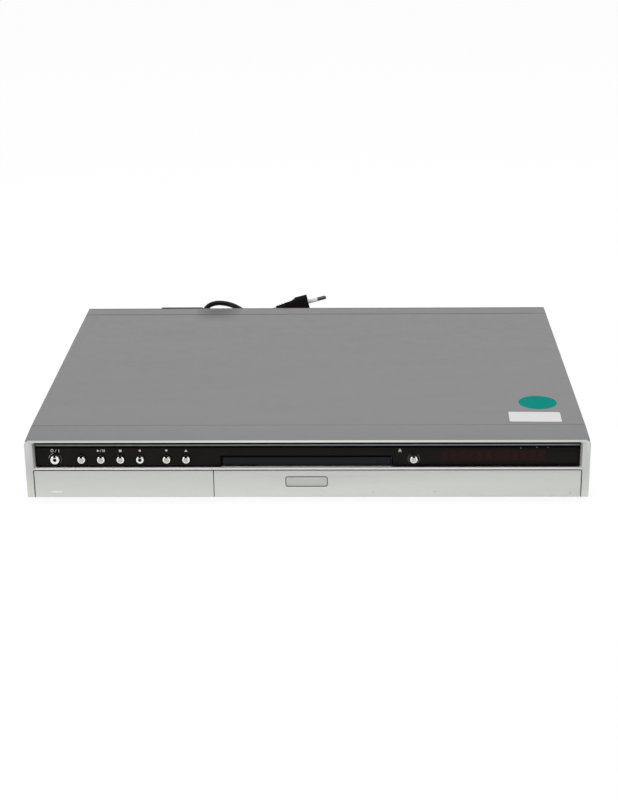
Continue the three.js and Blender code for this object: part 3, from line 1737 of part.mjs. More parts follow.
// One unbroken tube through the coil's points, closed at both ends.
function coilTube(points) {
  const up = new THREE.Vector3(0, 0, 1);
  const corners = [];
  points.forEach((point, i) => {
    const before = points[Math.max(i - 1, 0)];
    const after = points[Math.min(i + 1, points.length - 1)];
    const ahead = after.clone().sub(before).normalize();
    const aside = ahead.clone().cross(up).normalize();
    const rise = aside.clone().cross(ahead);
    for (let k = 0; k < loopSides; k += 1) {
      const angle = (2 * Math.PI * k) / loopSides;
      corners.push(point.clone()
        .addScaledVector(aside, cordRadius * Math.cos(angle))
        .addScaledVector(rise, cordRadius * Math.sin(angle)));
    }
  });
  const faces = [];
  const rings = points.length;
  for (let i = 0; i < rings - 1; i += 1) {
    for (let k = 0; k < loopSides; k += 1) {
      const next = (k + 1) % loopSides;
      const [a, b] = [i * loopSides + k, i * loopSides + next];
      const [c, d] = [a + loopSides, b + loopSides];
      faces.push(a, b, d, a, d, c);
    }
  }
  const lastRing = (rings - 1) * loopSides;
  for (let k = 1; k < loopSides - 1; k += 1) {
    faces.push(0, k + 1, k);
    faces.push(lastRing, lastRing + k, lastRing + k + 1);
  }
  const geometry = new THREE.BufferGeometry();
  geometry.setFromPoints(corners);
  geometry.setIndex(faces);
  return solidOf(geometry);
}

// The least gap between stretches of the coil that aren't next to each other along the cord.
function leastGap(points) {
  const fine = [];
  for (let i = 0; i < points.length - 1; i += 1) {
    for (let k = 0; k < cordSides; k += 1) fine.push(points[i].clone().lerp(points[i + 1], k / cordSides));
  }
  const skip = (loopSteps * cordSides) / 4;
  let least = Infinity;
  for (let i = 0; i < fine.length; i += 1) {
    for (let j = i + skip; j < fine.length; j += 1) {
      least = Math.min(least, fine[i].distanceTo(fine[j]));
    }
  }
  return least - cordDiameter;
}

// The mains cord: gland, lead, coil with its tie, and the tail up to the plug.
function makeCord() {
  const glandEnd = rearBack + glandLength;
  add('cord_gland', turned('y', [glandX, glandZ], [
    [0, rearFront - glandFlangeThick],
    [glandFlangeRadius, rearFront - glandFlangeThick],
    [glandFlangeRadius, rearFront - seat],
    [glandNeckRadius, rearFront - seat],
    [glandNeckRadius, rearBack + seat],
    [glandFlangeRadius, rearBack + seat],
    [glandFlangeRadius, rearBack + glandFlangeThick],
    [glandRoot, rearBack + glandFlangeThick],
    [glandTip, glandEnd],
    [0, glandEnd],
  ]), cordPlastic);
  const lead = routeTube(leadRoute);
  const tail = routeTube(tailRoute);
  const points = coilPoints();
  add('cord_lead', lead.solid, cordPlastic);
  add('cord_coil', coilTube(points), cordPlastic);
  add('cord_tail', tail.solid, cordPlastic);
  let coilLength = 0;
  for (let i = 1; i < points.length; i += 1) coilLength += points[i].distanceTo(points[i - 1]);
  const total = lead.length + coilLength + tail.length;
  console.log(`cord length ${total.toFixed(0)} mm, coil's least gap to itself ${leastGap(points).toFixed(2)} mm`);

  const innerRadius = coilRadius - (coilPitch * coilTurns) / 2 - cordRadius - tieClear;
  const outerRadius = coilRadius + cordRadius + tieClear;
  const tieLow = coilLow - cordRadius;
  const tieHigh = coilLow + coilLayer + cordRadius + tieClear;
  const across = around(coilX, tieWidth / 2);
  const tie = cut(
    block(
      across,
      [coilY - outerRadius - tieThick, coilY - innerRadius + tieThick],
      [tieLow - tieFootGap - tieFootThick, tieHigh + tieThick],
    ),
    block(
      [across[0] - overrun, across[1] + overrun],
      [coilY - outerRadius, coilY - innerRadius],
      [tieLow - tieFootGap, tieHigh],
    ),
  );
  add('cord_tie', tie, blackPlastic);
}

// The flat two-pin plug, made along -X from its face and then turned and laid on the coil.
function makePlug() {
  const wide = plate('xy', outline([
    [0, -plugWidth / 2],
    [0, plugWidth / 2],
    [-plugShoulder, plugShoulderWidth / 2],
    [-plugNeck, plugNeckWidth / 2],
    [-plugNeck, -plugNeckWidth / 2],
    [-plugShoulder, -plugShoulderWidth / 2],
  ]), [-plugThick, plugThick]);
  const slim = plate('xz', outline([
    [0, -plugThick / 2],
    [0, plugThick / 2],
    [-plugShoulder, plugShoulderThick / 2],
    [-plugNeck, guardRoot],
    [-plugNeck, -guardRoot],
    [-plugShoulder, -plugShoulderThick / 2],
  ]), [-plugWidth, plugWidth]);
  const guard = turned('x', [0, 0], [
    [0, -plugLength],
    [guardTip, -plugLength],
    [guardRoot, sink - plugNeck],
    [0, sink - plugNeck],
  ], smallSides);
  const holes = [-1, 1].map((side) => rod(
    'x',
    [(side * plugPinSpacing) / 2, 0],
    [-plugPinSocket - seat, overrun],
    plugPinRadius + seat,
  ));
  const place = new THREE.Group();
  place.position.set(plugFaceX, plugFaceY, plugFaceZ);
  place.rotation.set(
    THREE.MathUtils.degToRad(-plugRoll),
    THREE.MathUtils.degToRad(-plugTilt),
    0,
    'YXZ',
  );
  place.add(add('plug_body', cut(join(wide.intersect(slim), guard), holes), cordPlastic));
  ['plug_pin_near', 'plug_pin_far'].forEach((name, i) => {
    const y = (i - 1 / 2) * plugPinSpacing;
    const pin = turned('x', [y, 0], [
      [0, -plugPinSocket],
      [plugPinRadius, -plugPinSocket],
      [plugPinRadius, plugPinLength - plugPinRadius / 2],
      [plugPinRadius / 2, plugPinLength],
      [0, plugPinLength],
    ], smallSides);
    place.add(add(name, pin, brightSteel));
  });
  unit.add(place);
}

makeFeet();
makeBase();
makeCover();
makeRearPanel();
makeFascia();
makeFrame();
makeWindow();
makeButtons();
makeFrontBoard();
makeLowerPanel();
makeInputDoor();
makeInputSockets();
makeTray();
makeLoaderFrame();
makeLoadingDrive();
makeTraverse();
makeSpindle();
makePickup();
makeClamp();
makeHardDrive();
makePowerBoard();
makeMainBoard();
makeRearSockets();
makeFan();
makeCord();
makePlug();

unit.position.y = -unitBack / 2;

export default unit;
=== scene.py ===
import math

import bpy
from mathutils import Matrix, Vector


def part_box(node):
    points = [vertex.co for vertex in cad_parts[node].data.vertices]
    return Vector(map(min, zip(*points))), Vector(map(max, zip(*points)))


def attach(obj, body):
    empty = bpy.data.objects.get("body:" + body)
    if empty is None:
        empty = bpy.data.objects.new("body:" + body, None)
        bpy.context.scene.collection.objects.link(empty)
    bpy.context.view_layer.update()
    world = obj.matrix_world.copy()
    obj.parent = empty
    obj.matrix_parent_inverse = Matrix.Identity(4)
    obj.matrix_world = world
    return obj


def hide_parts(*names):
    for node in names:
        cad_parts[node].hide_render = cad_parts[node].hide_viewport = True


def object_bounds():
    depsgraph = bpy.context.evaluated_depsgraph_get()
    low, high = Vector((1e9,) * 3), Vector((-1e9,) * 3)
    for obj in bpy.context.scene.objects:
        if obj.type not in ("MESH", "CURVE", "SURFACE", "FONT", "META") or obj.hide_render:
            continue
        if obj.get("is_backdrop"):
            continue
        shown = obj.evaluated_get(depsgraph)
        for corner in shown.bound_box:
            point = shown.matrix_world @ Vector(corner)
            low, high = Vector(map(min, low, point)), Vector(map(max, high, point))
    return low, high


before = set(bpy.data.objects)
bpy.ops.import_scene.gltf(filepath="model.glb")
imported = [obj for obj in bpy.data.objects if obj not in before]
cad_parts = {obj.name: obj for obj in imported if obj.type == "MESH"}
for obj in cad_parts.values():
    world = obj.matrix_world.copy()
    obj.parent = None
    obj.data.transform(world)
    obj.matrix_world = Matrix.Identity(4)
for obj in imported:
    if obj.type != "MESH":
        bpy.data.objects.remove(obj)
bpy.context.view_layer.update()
mm = 0.001

# Camera
# A long lens in front of the unit looks down on the cover and the front. Its place and turn
# were worked out from the corners of the case in the photograph.
picture_height = 800
focal_pixels = 1692.5
sensor = 36
camera_place = Vector((37.93, -1362.53, 524.8)) * mm
camera_pitch = math.radians(20.269)
camera_yaw = math.radians(-1.700)
camera_roll = math.radians(-0.719)
ahead = Vector((
    math.sin(camera_yaw) * math.cos(camera_pitch),
    math.cos(camera_yaw) * math.cos(camera_pitch),
    -math.sin(camera_pitch),
))
level = Vector((math.cos(camera_yaw), -math.sin(camera_yaw), 0))
rise = level.cross(ahead)
right = level * math.cos(camera_roll) + rise * math.sin(camera_roll)
above = rise * math.cos(camera_roll) - level * math.sin(camera_roll)
lens = bpy.data.cameras.new("camera")
lens.lens = focal_pixels * sensor / picture_height
lens.sensor_width = sensor
camera = bpy.data.objects.new("camera", lens)
turn = Matrix((right, above, -ahead)).transposed().to_4x4()
camera.matrix_world = Matrix.Translation(camera_place) @ turn
bpy.context.scene.collection.objects.link(camera)
bpy.context.scene.camera = camera
bpy.context.scene.view_settings.view_transform = "Standard"


# Mains cord
# A black two-core cord of soft plastic, 1.41 m long. It leaves the gland in a low arch, drops
# to the floor and lies in a neat coil behind the unit, with its end led up into the plug.
class Wire:
    """A node's output: an expression on wires adds its Math nodes."""

    def __init__(self, nodes, socket):
        self.nodes = nodes
        self.socket = socket

    def math(self, operation, *values):
        return self.nodes.node("ShaderNodeMath", {"operation": operation}, dict(enumerate(values)))

    def __add__(self, other):
        return self.math("ADD", self, other)

    def __sub__(self, other):
        return self.math("SUBTRACT", self, other)

    def __rsub__(self, other):
        return self.math("SUBTRACT", other, self)

    def __mul__(self, other):
        return self.math("MULTIPLY", self, other)

    def __gt__(self, other):
        return self.math("GREATER_THAN", self, other)

    def __lt__(self, other):
        return self.math("LESS_THAN", self, other)

    def __abs__(self):
        return self.math("ABSOLUTE", self)

    __radd__ = __add__
    __rmul__ = __mul__


class Nodes:
    """A node tree, with one method that adds a node and fills its sockets."""

    def __init__(self, tree):
        self.tree = tree

    def node(self, kind, settings, values, output=0):
        made = self.tree.nodes.new(kind)
        for key, value in settings.items():
            setattr(made, key, value)
        for key, value in values.items():
            if isinstance(value, Wire):
                self.tree.links.new(value.socket, made.inputs[key])
            else:
                made.inputs[key].default_value = value
        return Wire(self, made.outputs[output])

    def show(self, end, wire):
        """Leads a shader to the surface of the end node."""
        self.tree.links.new(wire.socket, self.tree.nodes[end].inputs["Surface"])


class Finish(Nodes):
    """A material with its shader and the piece's own coordinates."""

    def __init__(self, name, color, roughness, metallic=0.0, specular=0.5, coat=0.0, coat_roughness=0.03):
        self.material = bpy.data.materials.new(name)
        self.material.use_nodes = True
        self.material.diffuse_color = (*color, 1)
        super().__init__(self.material.node_tree)
        self.shader = self.tree.nodes["Principled BSDF"]
        for key, value in {
            "Base Color": (*color, 1), "Roughness": roughness, "Metallic": metallic,
            "Specular IOR Level": specular, "Coat Weight": coat, "Coat Roughness": coat_roughness,
        }.items():
            self.shader.inputs[key].default_value = value
        self.place = self.node("ShaderNodeTexCoord", {}, {}, "Object")

    def feed(self, key, wire):
        self.tree.links.new(wire.socket, self.shader.inputs[key])

    def noise(self, scale, detail=3.0, stretch=(1, 1, 1)):
        place = self.node("ShaderNodeMapping", {}, {"Vector": self.place, "Scale": stretch})
        return self.node("ShaderNodeTexNoise", {}, {"Vector": place, "Scale": scale, "Detail": detail})

    def cells(self, scale, output="Distance"):
        return self.node("ShaderNodeTexVoronoi", {}, {"Vector": self.place, "Scale": scale}, output)

    def along(self, axis):
        return self.node("ShaderNodeSeparateXYZ", {}, {0: self.place}, axis)

    def hump(self, axis, middle, reach):
        """1 at the middle in millimetres, falling to 0 at the reach on both sides."""
        away = abs(self.along(axis) - middle * mm) * (1 / (reach * mm))
        settings = {"operation": "SUBTRACT", "use_clamp": True}
        return self.node("ShaderNodeMath", settings, {0: 1.0, 1: away})

    def over(self, under, color, mask):
        return self.node("ShaderNodeMix", {"data_type": "RGBA"}, {0: mask, 6: under, 7: (*color, 1)}, 2)

    def between(self, dark, light, mask):
        return self.over((*dark, 1), light, mask)

    def relief(self, height, depth):
        """Raises the surface by the height pattern, with the depth in metres."""
        values = {"Height": height, "Distance": depth, "Strength": 1.0}
        self.feed("Normal", self.node("ShaderNodeBump", {}, values))


def shade(color, share):
    return tuple(min(1.0, channel * share) for channel in color)


def coated(name, color, roughness, metallic=0.0, cloud=0.06, cloud_scale=60, grain=0.01, grain_scale=3000,
           **gloss):
    """A lacquered or moulded surface: cloudy colour, uneven gloss and a fine grain in millimetres."""
    finish = Finish(name, color, roughness, metallic, **gloss)
    clouds = finish.noise(cloud_scale)
    fine = finish.noise(grain_scale, 2.0)
    finish.tone = finish.between(shade(color, 1 - cloud), shade(color, 1 + cloud), clouds)
    finish.feed("Base Color", finish.tone)
    finish.feed("Roughness", roughness + (finish.noise(cloud_scale * 4) - 0.5) * roughness * 0.4)
    finish.relief(fine, grain * mm)
    return finish


def dress(piece, finish, body, slot, *replaced):
    """Gives a piece its finish and its body; its slot is not used.
    A piece of several finishes has them already.
    """
    if finish:
        piece.data.materials.clear()
        piece.data.materials.append(finish.material)
    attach(piece, body)
    if replaced:
        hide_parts(*replaced)
    return piece


lead_route = [
    (-70, 189.7, 38), (-70, 196, 38), (-71.6, 203.2, 38.2), (-76, 210.2, 38.9), (-83, 215.4, 40.6),
    (-91, 217.8, 41.8), (-98.5, 218.2, 41.8), (-105.5, 218.3, 39.3), (-110.4, 218.3, 33.6),
    (-112.8, 218.3, 26.6), (-114.8, 218.3, 18.8), (-119.2, 218.3, 11.4), (-125.6, 218.3, 5.9),
    (-132.6, 218.3, 3.4), (-141, 218.5, 3), (-158.8, 223.3, 3), (-172.6, 237.1, 3),
    (-177.6, 255.9, 3), (-172.6, 274.7, 3), (-158.8, 288.5, 3),
    (-140, 293.5, 3), (-115, 293.5, 3), (-90, 293.5, 3), (-66, 293.5, 3), (-47, 293.5, 3),
]
tail_route = [
    (-70.8, 246, 8.6), (-73.5, 256, 9.4), (-70.8, 265, 11.9), (-63.5, 271.2, 14.1),
    (-53.5, 273.2, 15.4), (-49, 273.1, 16.5), (-43, 273.3, 17.9),
]
cord_width = 5.0
cord_thickness = 5.0
cord_crease = 0.35
coil_centre = (-35, 257)
coil_radius = 36.5
coil_pitch = 5.6
coil_low = 3.0
coil_layer = 5.6
coil_start = 90
coil_end = 210
coil_turns = 6 - (coil_end - coil_start) / 360
loop_steps = 24
cord_step = 2.0
cord_sides = 20


def coil_points():
    """The turns spiral in and out again at a steady rate, and climb a layer where they reverse."""
    count = round(coil_turns * loop_steps)
    points = []
    for i in range(count + 1):
        done = coil_turns * i / count
        radius = coil_radius - coil_pitch * min(done, coil_turns - done)
        climb = min(max((done - coil_turns / 2) * 2 + 0.5, 0), 1)
        angle = math.radians(coil_start - 360 * done)
        points.append((
            coil_centre[0] + radius * math.cos(angle),
            coil_centre[1] + radius * math.sin(angle),
            coil_low + coil_layer * climb,
        ))
    (start_x, start_y, start_z), (end_x, end_y, end_z) = points[0], points[-1]
    away = math.radians(coil_end)
    last = (end_x + cord_width * math.sin(away), end_y - cord_width * math.cos(away), end_z)
    return [(start_x - cord_width, start_y, start_z), *points, last]


def smooth_line(points, step):
    """A curve through the points, sampled about one step apart."""
    knots = [Vector(p) for p in points]
    knots = [2 * knots[0] - knots[1], *knots, 2 * knots[-1] - knots[-2]]
    line = []
    for a, b, c, d in zip(knots, knots[1:], knots[2:], knots[3:]):
        before, within, after = (math.sqrt((q - p).length) for p, q in ((a, b), (b, c), (c, d)))
        leave = ((b - a) / before - (c - a) / (before + within) + (c - b) / within) * within
        reach = ((c - b) / within - (d - b) / (within + after) + (d - c) / after) * within
        count = max(1, round((c - b).length / step))
        for i in range(count):
            t = i / count
            line.append(
                b + leave * t + (3 * (c - b) - 2 * leave - reach) * t ** 2
                + (2 * (b - c) + leave + reach) * t ** 3
            )
    return [*line, knots[-2]]


def swept(name, line, section):
    """A tube of the given section along a line, closed at both ends."""
    corners, faces = [], []
    count = len(section)
    for i, point in enumerate(line):
        heading = (line[min(i + 1, len(line) - 1)] - line[max(i - 1, 0)]).normalized()
        aside = heading.cross(Vector((0, 0, 1))).normalized()
        lift = aside.cross(heading)
        corners += [point + aside * u + lift * v for u, v in section]
        if i:
            base = (i - 1) * count
            faces += [
                (base + k, base + (k + 1) % count, base + count + (k + 1) % count, base + count + k)
                for k in range(count)
            ]
    faces.append(tuple(reversed(range(count))))
    faces.append(tuple(range(len(corners) - count, len(corners))))
    mesh = bpy.data.meshes.new(name)
    mesh.from_pydata(corners, [], faces)
    piece = bpy.data.objects.new(name, mesh)
    bpy.context.scene.collection.objects.link(piece)
    return recalculated(piece)


def select_only(piece):
    bpy.ops.object.select_all(action="DESELECT")
    piece.select_set(True)
    bpy.context.view_layer.objects.active = piece


def edit_all():
    """Opens the active piece's mesh with all of it selected."""
    bpy.ops.object.mode_set(mode="EDIT")
    bpy.ops.mesh.select_all(action="SELECT")


def recalculated(piece):
    """Turns all faces outwards and smooths all but the sharper edges."""
    select_only(piece)
    edit_all()
    bpy.ops.mesh.normals_make_consistent(inside=False)
    bpy.ops.object.mode_set(mode="OBJECT")
    bpy.ops.object.shade_smooth_by_angle(angle=math.radians(35))
    return piece


cord_section = []
for k in range(cord_sides):
    angle = 2 * math.pi * k / cord_sides
    waist = cord_crease * math.exp(-((math.cos(angle) / 0.3) ** 2))
    cord_section.append((
        cord_width / 2 * math.cos(angle) * mm,
        (cord_thickness / 2 - waist) * math.sin(angle) * mm,
    ))
cord_line = [p * mm for p in smooth_line([*lead_route, *coil_points(), *tail_route], cord_step)]
cord_length = sum((b - a).length for a, b in zip(cord_line, cord_line[1:]))
cord = swept("mains_cord", cord_line, cord_section)
cord_plastic = coated(
    "cord_plastic", (0.004, 0.0035, 0.0034), 0.2, cloud=0.25, grain=0.006, grain_scale=1500, specular=0.15)
dress(cord, cord_plastic, "case", "cord_plastic", "cord_lead", "cord_coil", "cord_tail")

# Gland of the cord
# A moulded strain relief with a flange on each side of the rear panel and a ribbed, tapered
# sleeve that lets the cord bend gently.
gland_x, gland_z = -70.0, 38.0
gland_seat = 161.4
gland_end = 189.4
gland_flange = 7.0
gland_neck = 5.3
gland_ribs = 7
gland_rib = 0.45


def settle(piece, place=Matrix.Identity(4)):
    """Puts a piece's place into its mesh, with the object itself at the origin."""
    piece.data.transform(place @ piece.matrix_basis)
    piece.matrix_basis = Matrix.Identity(4)
    piece.data.update()
    return piece


def eased(piece, width, segments):
    """Rounds the sharper edges, with the width in millimetres."""
    select_only(piece)
    bevel = piece.modifiers.new("ease", "BEVEL")
    bevel.width = width * mm
    bevel.segments = segments
    bevel.limit_method = "ANGLE"
    bevel.angle_limit = math.radians(30)
    bpy.ops.object.modifier_apply(modifier=bevel.name)


def pushed(stations, place):
    """Pushes the active flat piece along its axis from station to station, drawn in or out at
    each. A station is its height, its length along Y and its length along X, in millimetres."""
    edit_all()
    for (low, width, depth), (high, next_width, next_depth) in zip(stations, stations[1:]):
        bpy.ops.mesh.extrude_region_move(TRANSFORM_OT_translate={"value": (0, 0, (high - low) * mm)})
        share = (next_depth / depth, next_width / width, 1)
        bpy.ops.transform.resize(value=share, center_override=(0, 0, high * mm))
    bpy.ops.object.mode_set(mode="OBJECT")
    return recalculated(settle(bpy.context.object, place))


def turned(name, profile, place=Matrix.Identity(4), sides=48):
    """A turned piece on a profile of (radius, height) in millimetres."""
    bpy.ops.object.select_all(action="DESELECT")
    radius, height = profile[0]
    bpy.ops.mesh.primitive_circle_add(
        vertices=sides, radius=radius * mm, fill_type="NGON", location=(0, 0, height * mm))
    bpy.context.object.name = name
    settle(bpy.context.object)
    return pushed([(height, radius, radius) for radius, height in profile], place)


def shifted(x, y, z):
    """A move by millimetres."""
    return Matrix.Translation(Vector((x, y, z)) * mm)


def rotated(degrees, axis):
    return Matrix.Rotation(math.radians(degrees), 4, axis)


def facing(x, y, z, turn_about="X", degrees=-90):
    """The place of a piece made along +Z, laid along +Y at a point in millimetres."""
    return shifted(x, y, z) @ rotated(degrees, turn_about)


gland_profile = [
    (gland_flange, -2.4), (gland_flange, -0.4), (gland_neck, -0.4), (gland_neck, 0.3), (gland_flange, 0.3),
    (gland_flange, 2.0), (gland_flange - 0.6, 2.6),
]
for i in range(gland_ribs):
    low = 3.4 + i * 3.4
    core = 4.9 - 0.21 * i
    waist = core - gland_rib
    gland_profile += [(waist, low), (waist, low + 1.2), (core, low + 1.7), (core, low + 2.9)]
gland_profile.append((3.3, gland_end - gland_seat))
gland = turned("cord_strain_relief", gland_profile, facing(gland_x, gland_seat, gland_z))
dress(gland, cord_plastic, "case", "cord_plastic", "cord_gland")

# Plug
# A flat two-pin plug moulded on the cord, with a thin plate edge round its face. The pins
# have pale sleeves and bare nickel tips.
plug_face = (-10.6, 276, 25.4)
plug_turn = rotated(5, "Z") @ rotated(-13, "Y") @ rotated(-17, "X")
plug_place = shifted(*plug_face) @ plug_turn
plug_corner = 3.4
guard_start = -22
pin_spacing = 18.6
pin_radius = 2.0
pin_length = 19.0
sleeve_length = 10.0


def joined(name, pieces):
    select_only(pieces[0])
    for piece in pieces[1:]:
        piece.select_set(True)
    bpy.ops.object.join()
    pieces[0].name = name
    return pieces[0]


plug_stations = [
    (0.2, 34.2, 14.0), (-0.2, 35.2, 15.0), (-1.5, 35.2, 15.0), (-1.9, 34.2, 14.8), (-10.8, 34.0, 14.8),
    (-12.2, 32.0, 14.0), (-13.0, 21.0, 12.4), (-16.0, 16.5, 10.2), (-22.4, 11.0, 9.0),
]


def rounded_plane(name, width, depth, corner, segments, height=0.0):
    """A flat rectangle with rounded corners, left open for editing. Sizes in millimetres."""
    bpy.ops.object.select_all(action="DESELECT")
    bpy.ops.mesh.primitive_plane_add(size=1)
    bpy.context.object.name = name
    settle(bpy.context.object, shifted(0, 0, height) @ Matrix.Diagonal((width * mm, depth * mm, 1, 1)))
    edit_all()
    bpy.ops.mesh.bevel(offset=corner * mm, segments=segments, affect="VERTICES")
    bpy.ops.mesh.select_all(action="SELECT")


def repaint(piece, finish, rule):
    """Gives the faces whose middle meets the rule a second finish."""
    piece.data.materials.append(finish.material)
    index = len(piece.data.materials) - 1
    for face in piece.data.polygons:
        if rule(face.center / mm, face.normal):
            face.material_index = index


face_height, face_width, face_depth = plug_stations[0]
rounded_plane("plug_shell", face_depth, face_width, plug_corner, 5, face_height)
plug = pushed(plug_stations, plug_place @ facing(0, 0, 0, "Y", 90))
guard_profile = [(4.7, 0)]
for i in range(4):
    core, start = 4.65 - 0.28 * i, 2.7 * i
    guard_profile += [
        (core, start + 0.4), (core, start + 1.5), (core - 0.5, start + 1.9), (core - 0.5, start + 2.7)]
guard = turned("plug_guard", guard_profile, plug_place @ facing(guard_start, 0, 0, "Y", -90), 32)
plug = joined("plug_shell", [plug, guard])
plug_plastic = coated(
    "plug_plastic", (0.007, 0.0055, 0.005), 0.45, cloud=0.2, grain=0.015, grain_scale=1200, specular=0.05)
outward = plug_turn.to_3x3() @ Vector((1, 0, 0))
dull_plastic = coated("dull_plastic", (0.003, 0.0027, 0.0025), 0.8, specular=0.0)
dress(plug, plug_plastic, "case", "plug_plastic", "plug_body")
repaint(plug, dull_plastic, lambda at, out: out.dot(outward) > 0.9)

for name, side in (("plug_pin_near", -1), ("plug_pin_far", 1)):
    tip = pin_length - 1.6
    place = plug_place @ facing(0, side * pin_spacing / 2, 0, "Y", 90)
    pin = turned(name + "_turned", [
        (1.75, -2.6), (pin_radius, -2.2), (pin_radius, sleeve_length - 0.3),
        (pin_radius - 0.12, sleeve_length), (pin_radius - 0.12, tip),
        (1.5, pin_length - 0.5), (0.8, pin_length - 0.08), (0.3, pin_length),
    ], place, 40)
    pin_metal = coated(name + "_metal", (0.07, 0.07, 0.07), 0.2, 1.0, cloud=0.3, cloud_scale=300, grain=0.002)
    values = {0: pin_metal.place, 1: outward}
    reach = pin_metal.node("ShaderNodeVectorMath", {"operation": "DOT_PRODUCT"}, values, 1)
    sleeve = reach < (outward.dot(plug_face) + sleeve_length) * mm
    pin_metal.feed("Base Color", pin_metal.over(pin_metal.tone, (0.8, 0.79, 0.75), sleeve))
    pin_metal.feed("Metallic", 1 - sleeve)
    pin_metal.feed("Roughness", 0.16 + sleeve * 0.3)
    dress(pin, pin_metal, "case", "pin_metal", name)

# Tie of the coil
# A flat strap of black plastic closed round all the turns, with its little lock on top.
def copy_of(node, name, ease, segments=2):
    """A CAD node's own solid as a piece with merged faces and eased edges. Sizes in millimetres."""
    piece = bpy.data.objects.new(name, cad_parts[node].data.copy())
    bpy.context.scene.collection.objects.link(piece)
    select_only(piece)
    bpy.ops.mesh.customdata_custom_splitnormals_clear()
    edit_all()
    bpy.ops.mesh.remove_doubles(threshold=0.002 * mm)
    bpy.ops.mesh.dissolve_limited(angle_limit=math.radians(0.5))
    bpy.ops.object.mode_set(mode="OBJECT")
    eased(piece, ease, segments)
    bpy.ops.object.shade_smooth_by_angle(angle=math.radians(40))
    return piece


def box_of(node):
    """The two corners and the middle of a CAD node's box, in millimetres."""
    low, high = (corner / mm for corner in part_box(node))
    return low, high, (low + high) / 2


def slab(name, low, high, ease, segments=2):
    """A block with eased edges between two corners in millimetres."""
    bpy.ops.object.select_all(action="DESELECT")
    middle = [(a + b) / 2 * mm for a, b in zip(low, high)]
    size = [(b - a) * mm for a, b in zip(low, high)]
    bpy.ops.mesh.primitive_cube_add(size=1, location=middle)
    piece = bpy.context.object
    piece.name = name
    piece.scale = size
    settle(piece)
    eased(piece, ease, segments)
    return recalculated(piece)


tie_plastic = coated("tie_plastic", (0.015, 0.015, 0.016), 0.42, specular=0.2)
tie = copy_of("cord_tie", "coil_tie", 0.15)
tie_low, tie_high = box_of("cord_tie")[:2]
lock_y, lock_top, lock_half = tie_low.y + 9, tie_high.z, 3.4
lock = slab(
    "tie_lock", (coil_centre[0] - 3.6, lock_y - lock_half, lock_top - 3.2),
    (coil_centre[0] + 3.6, lock_y + lock_half, lock_top - 0.02), 0.5)
tie = joined("coil_tie", [tie, lock])
dress(tie, tie_plastic, "case", "black_plastic", "cord_tie")

# Studio
# A pale floor and a plain white surround, lit by a wide lamp overhead, two softer ones and a
# small one for the glints. The floor is white to the camera, but keeps part of the shadow.
floor_size = 8.0
floor_drop = 0.05 * mm
floor_glow = 1.03
shadow_share = 0.09
sky_light, sky_seen = 0.5, 0.8


def seen(tree):
    """1 for camera, glossy and transmission rays."""
    rays = [tree.node("ShaderNodeLightPath", {}, {}, key)
            for key in ("Is Camera Ray", "Is Glossy Ray", "Is Transmission Ray")]
    either = rays[0].math("MAXIMUM", rays[0], rays[1])
    return either.math("MAXIMUM", either, rays[2])


world = bpy.data.worlds.new("studio")
bpy.context.scene.world = world
world.use_nodes = True
sky = Nodes(world.node_tree)
soft, pale = (
    sky.node("ShaderNodeBackground", {}, {"Color": (tone, tone, tone, 1), "Strength": strength})
    for tone, strength in ((1, sky_light), (sky_seen, 1)))
sky.show("World Output", sky.node("ShaderNodeMixShader", {}, {0: seen(sky), 1: soft, 2: pale}))

bpy.ops.object.select_all(action="DESELECT")
bpy.ops.mesh.primitive_plane_add(size=floor_size, location=(0, 0, -floor_drop))
floor = bpy.context.object
floor.name = "floor"
pale_floor = Finish("pale_floor", (0.86, 0.86, 0.86), 0.9, specular=0.0)
glow = pale_floor.node("ShaderNodeEmission", {}, {"Strength": floor_glow})
shaded = Wire(pale_floor, pale_floor.shader.outputs[0])
blend = {0: seen(pale_floor) * (1 - shadow_share), 1: shaded, 2: glow}
pale_floor.show("Material Output", pale_floor.node("ShaderNodeMixShader", {}, blend))
floor.data.materials.append(pale_floor.material)
floor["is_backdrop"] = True

for name, place, size, watts in (
    ("lamp_above", (0.1, -0.35, 1.6), 1.6, 12.9),
    ("lamp_spark", (0.0, -0.5, 1.5), 0.12, 0.9),
    ("lamp_left", (-1.5, -0.9, 0.9), 1.0, 6.0),
    ("lamp_right", (1.6, -0.6, 1.0), 1.0, 5.0),
):
    lamp = bpy.data.lights.new(name, "AREA")
    lamp.size = size
    lamp.energy = watts
    holder = bpy.data.objects.new(name, lamp)
    holder.location = place
    holder.rotation_euler = (Vector((0, 0, 0.03)) - Vector(place)).to_track_quat("-Z", "Y").to_euler()
    bpy.context.scene.collection.objects.link(holder)

# Feet
# Four round feet of dark moulded plastic, which stand on a narrow rim. Each is held by a screw
# into the base.
def copied(piece, name, place):
    """A copy of a piece, with its own mesh, at another place."""
    each = bpy.data.objects.new(name, piece.data.copy())
    bpy.context.scene.collection.objects.link(each)
    return settle(each, place)


def spread(model, places):
    """Copies of a model at all the places. The model itself is removed."""
    copies = [copied(model, model.name, place) for place in places]
    bpy.data.objects.remove(model)
    return copies


foot_plastic = coated("foot_plastic", (0.028, 0.028, 0.028), 0.6, grain=0.05, grain_scale=1800)
foot = turned("foot", [
    (10.2, 0.25), (10.6, 0.0), (11.6, 0.0), (12.0, 0.3), (12.0, 1.0), (13.2, 1.0), (13.7, 1.15),
    (14.0, 1.5), (14.9, 5.6), (15.0, 6.1),
])
for node in ("foot_front_left", "foot_front_right", "foot_rear_left", "foot_rear_right"):
    middle = box_of(node)[2]
    moulding = copied(foot, node + "_moulding", shifted(middle.x, middle.y, 0))
    dress(moulding, foot_plastic, "case", "foot_plastic", node)
bpy.data.objects.remove(foot)

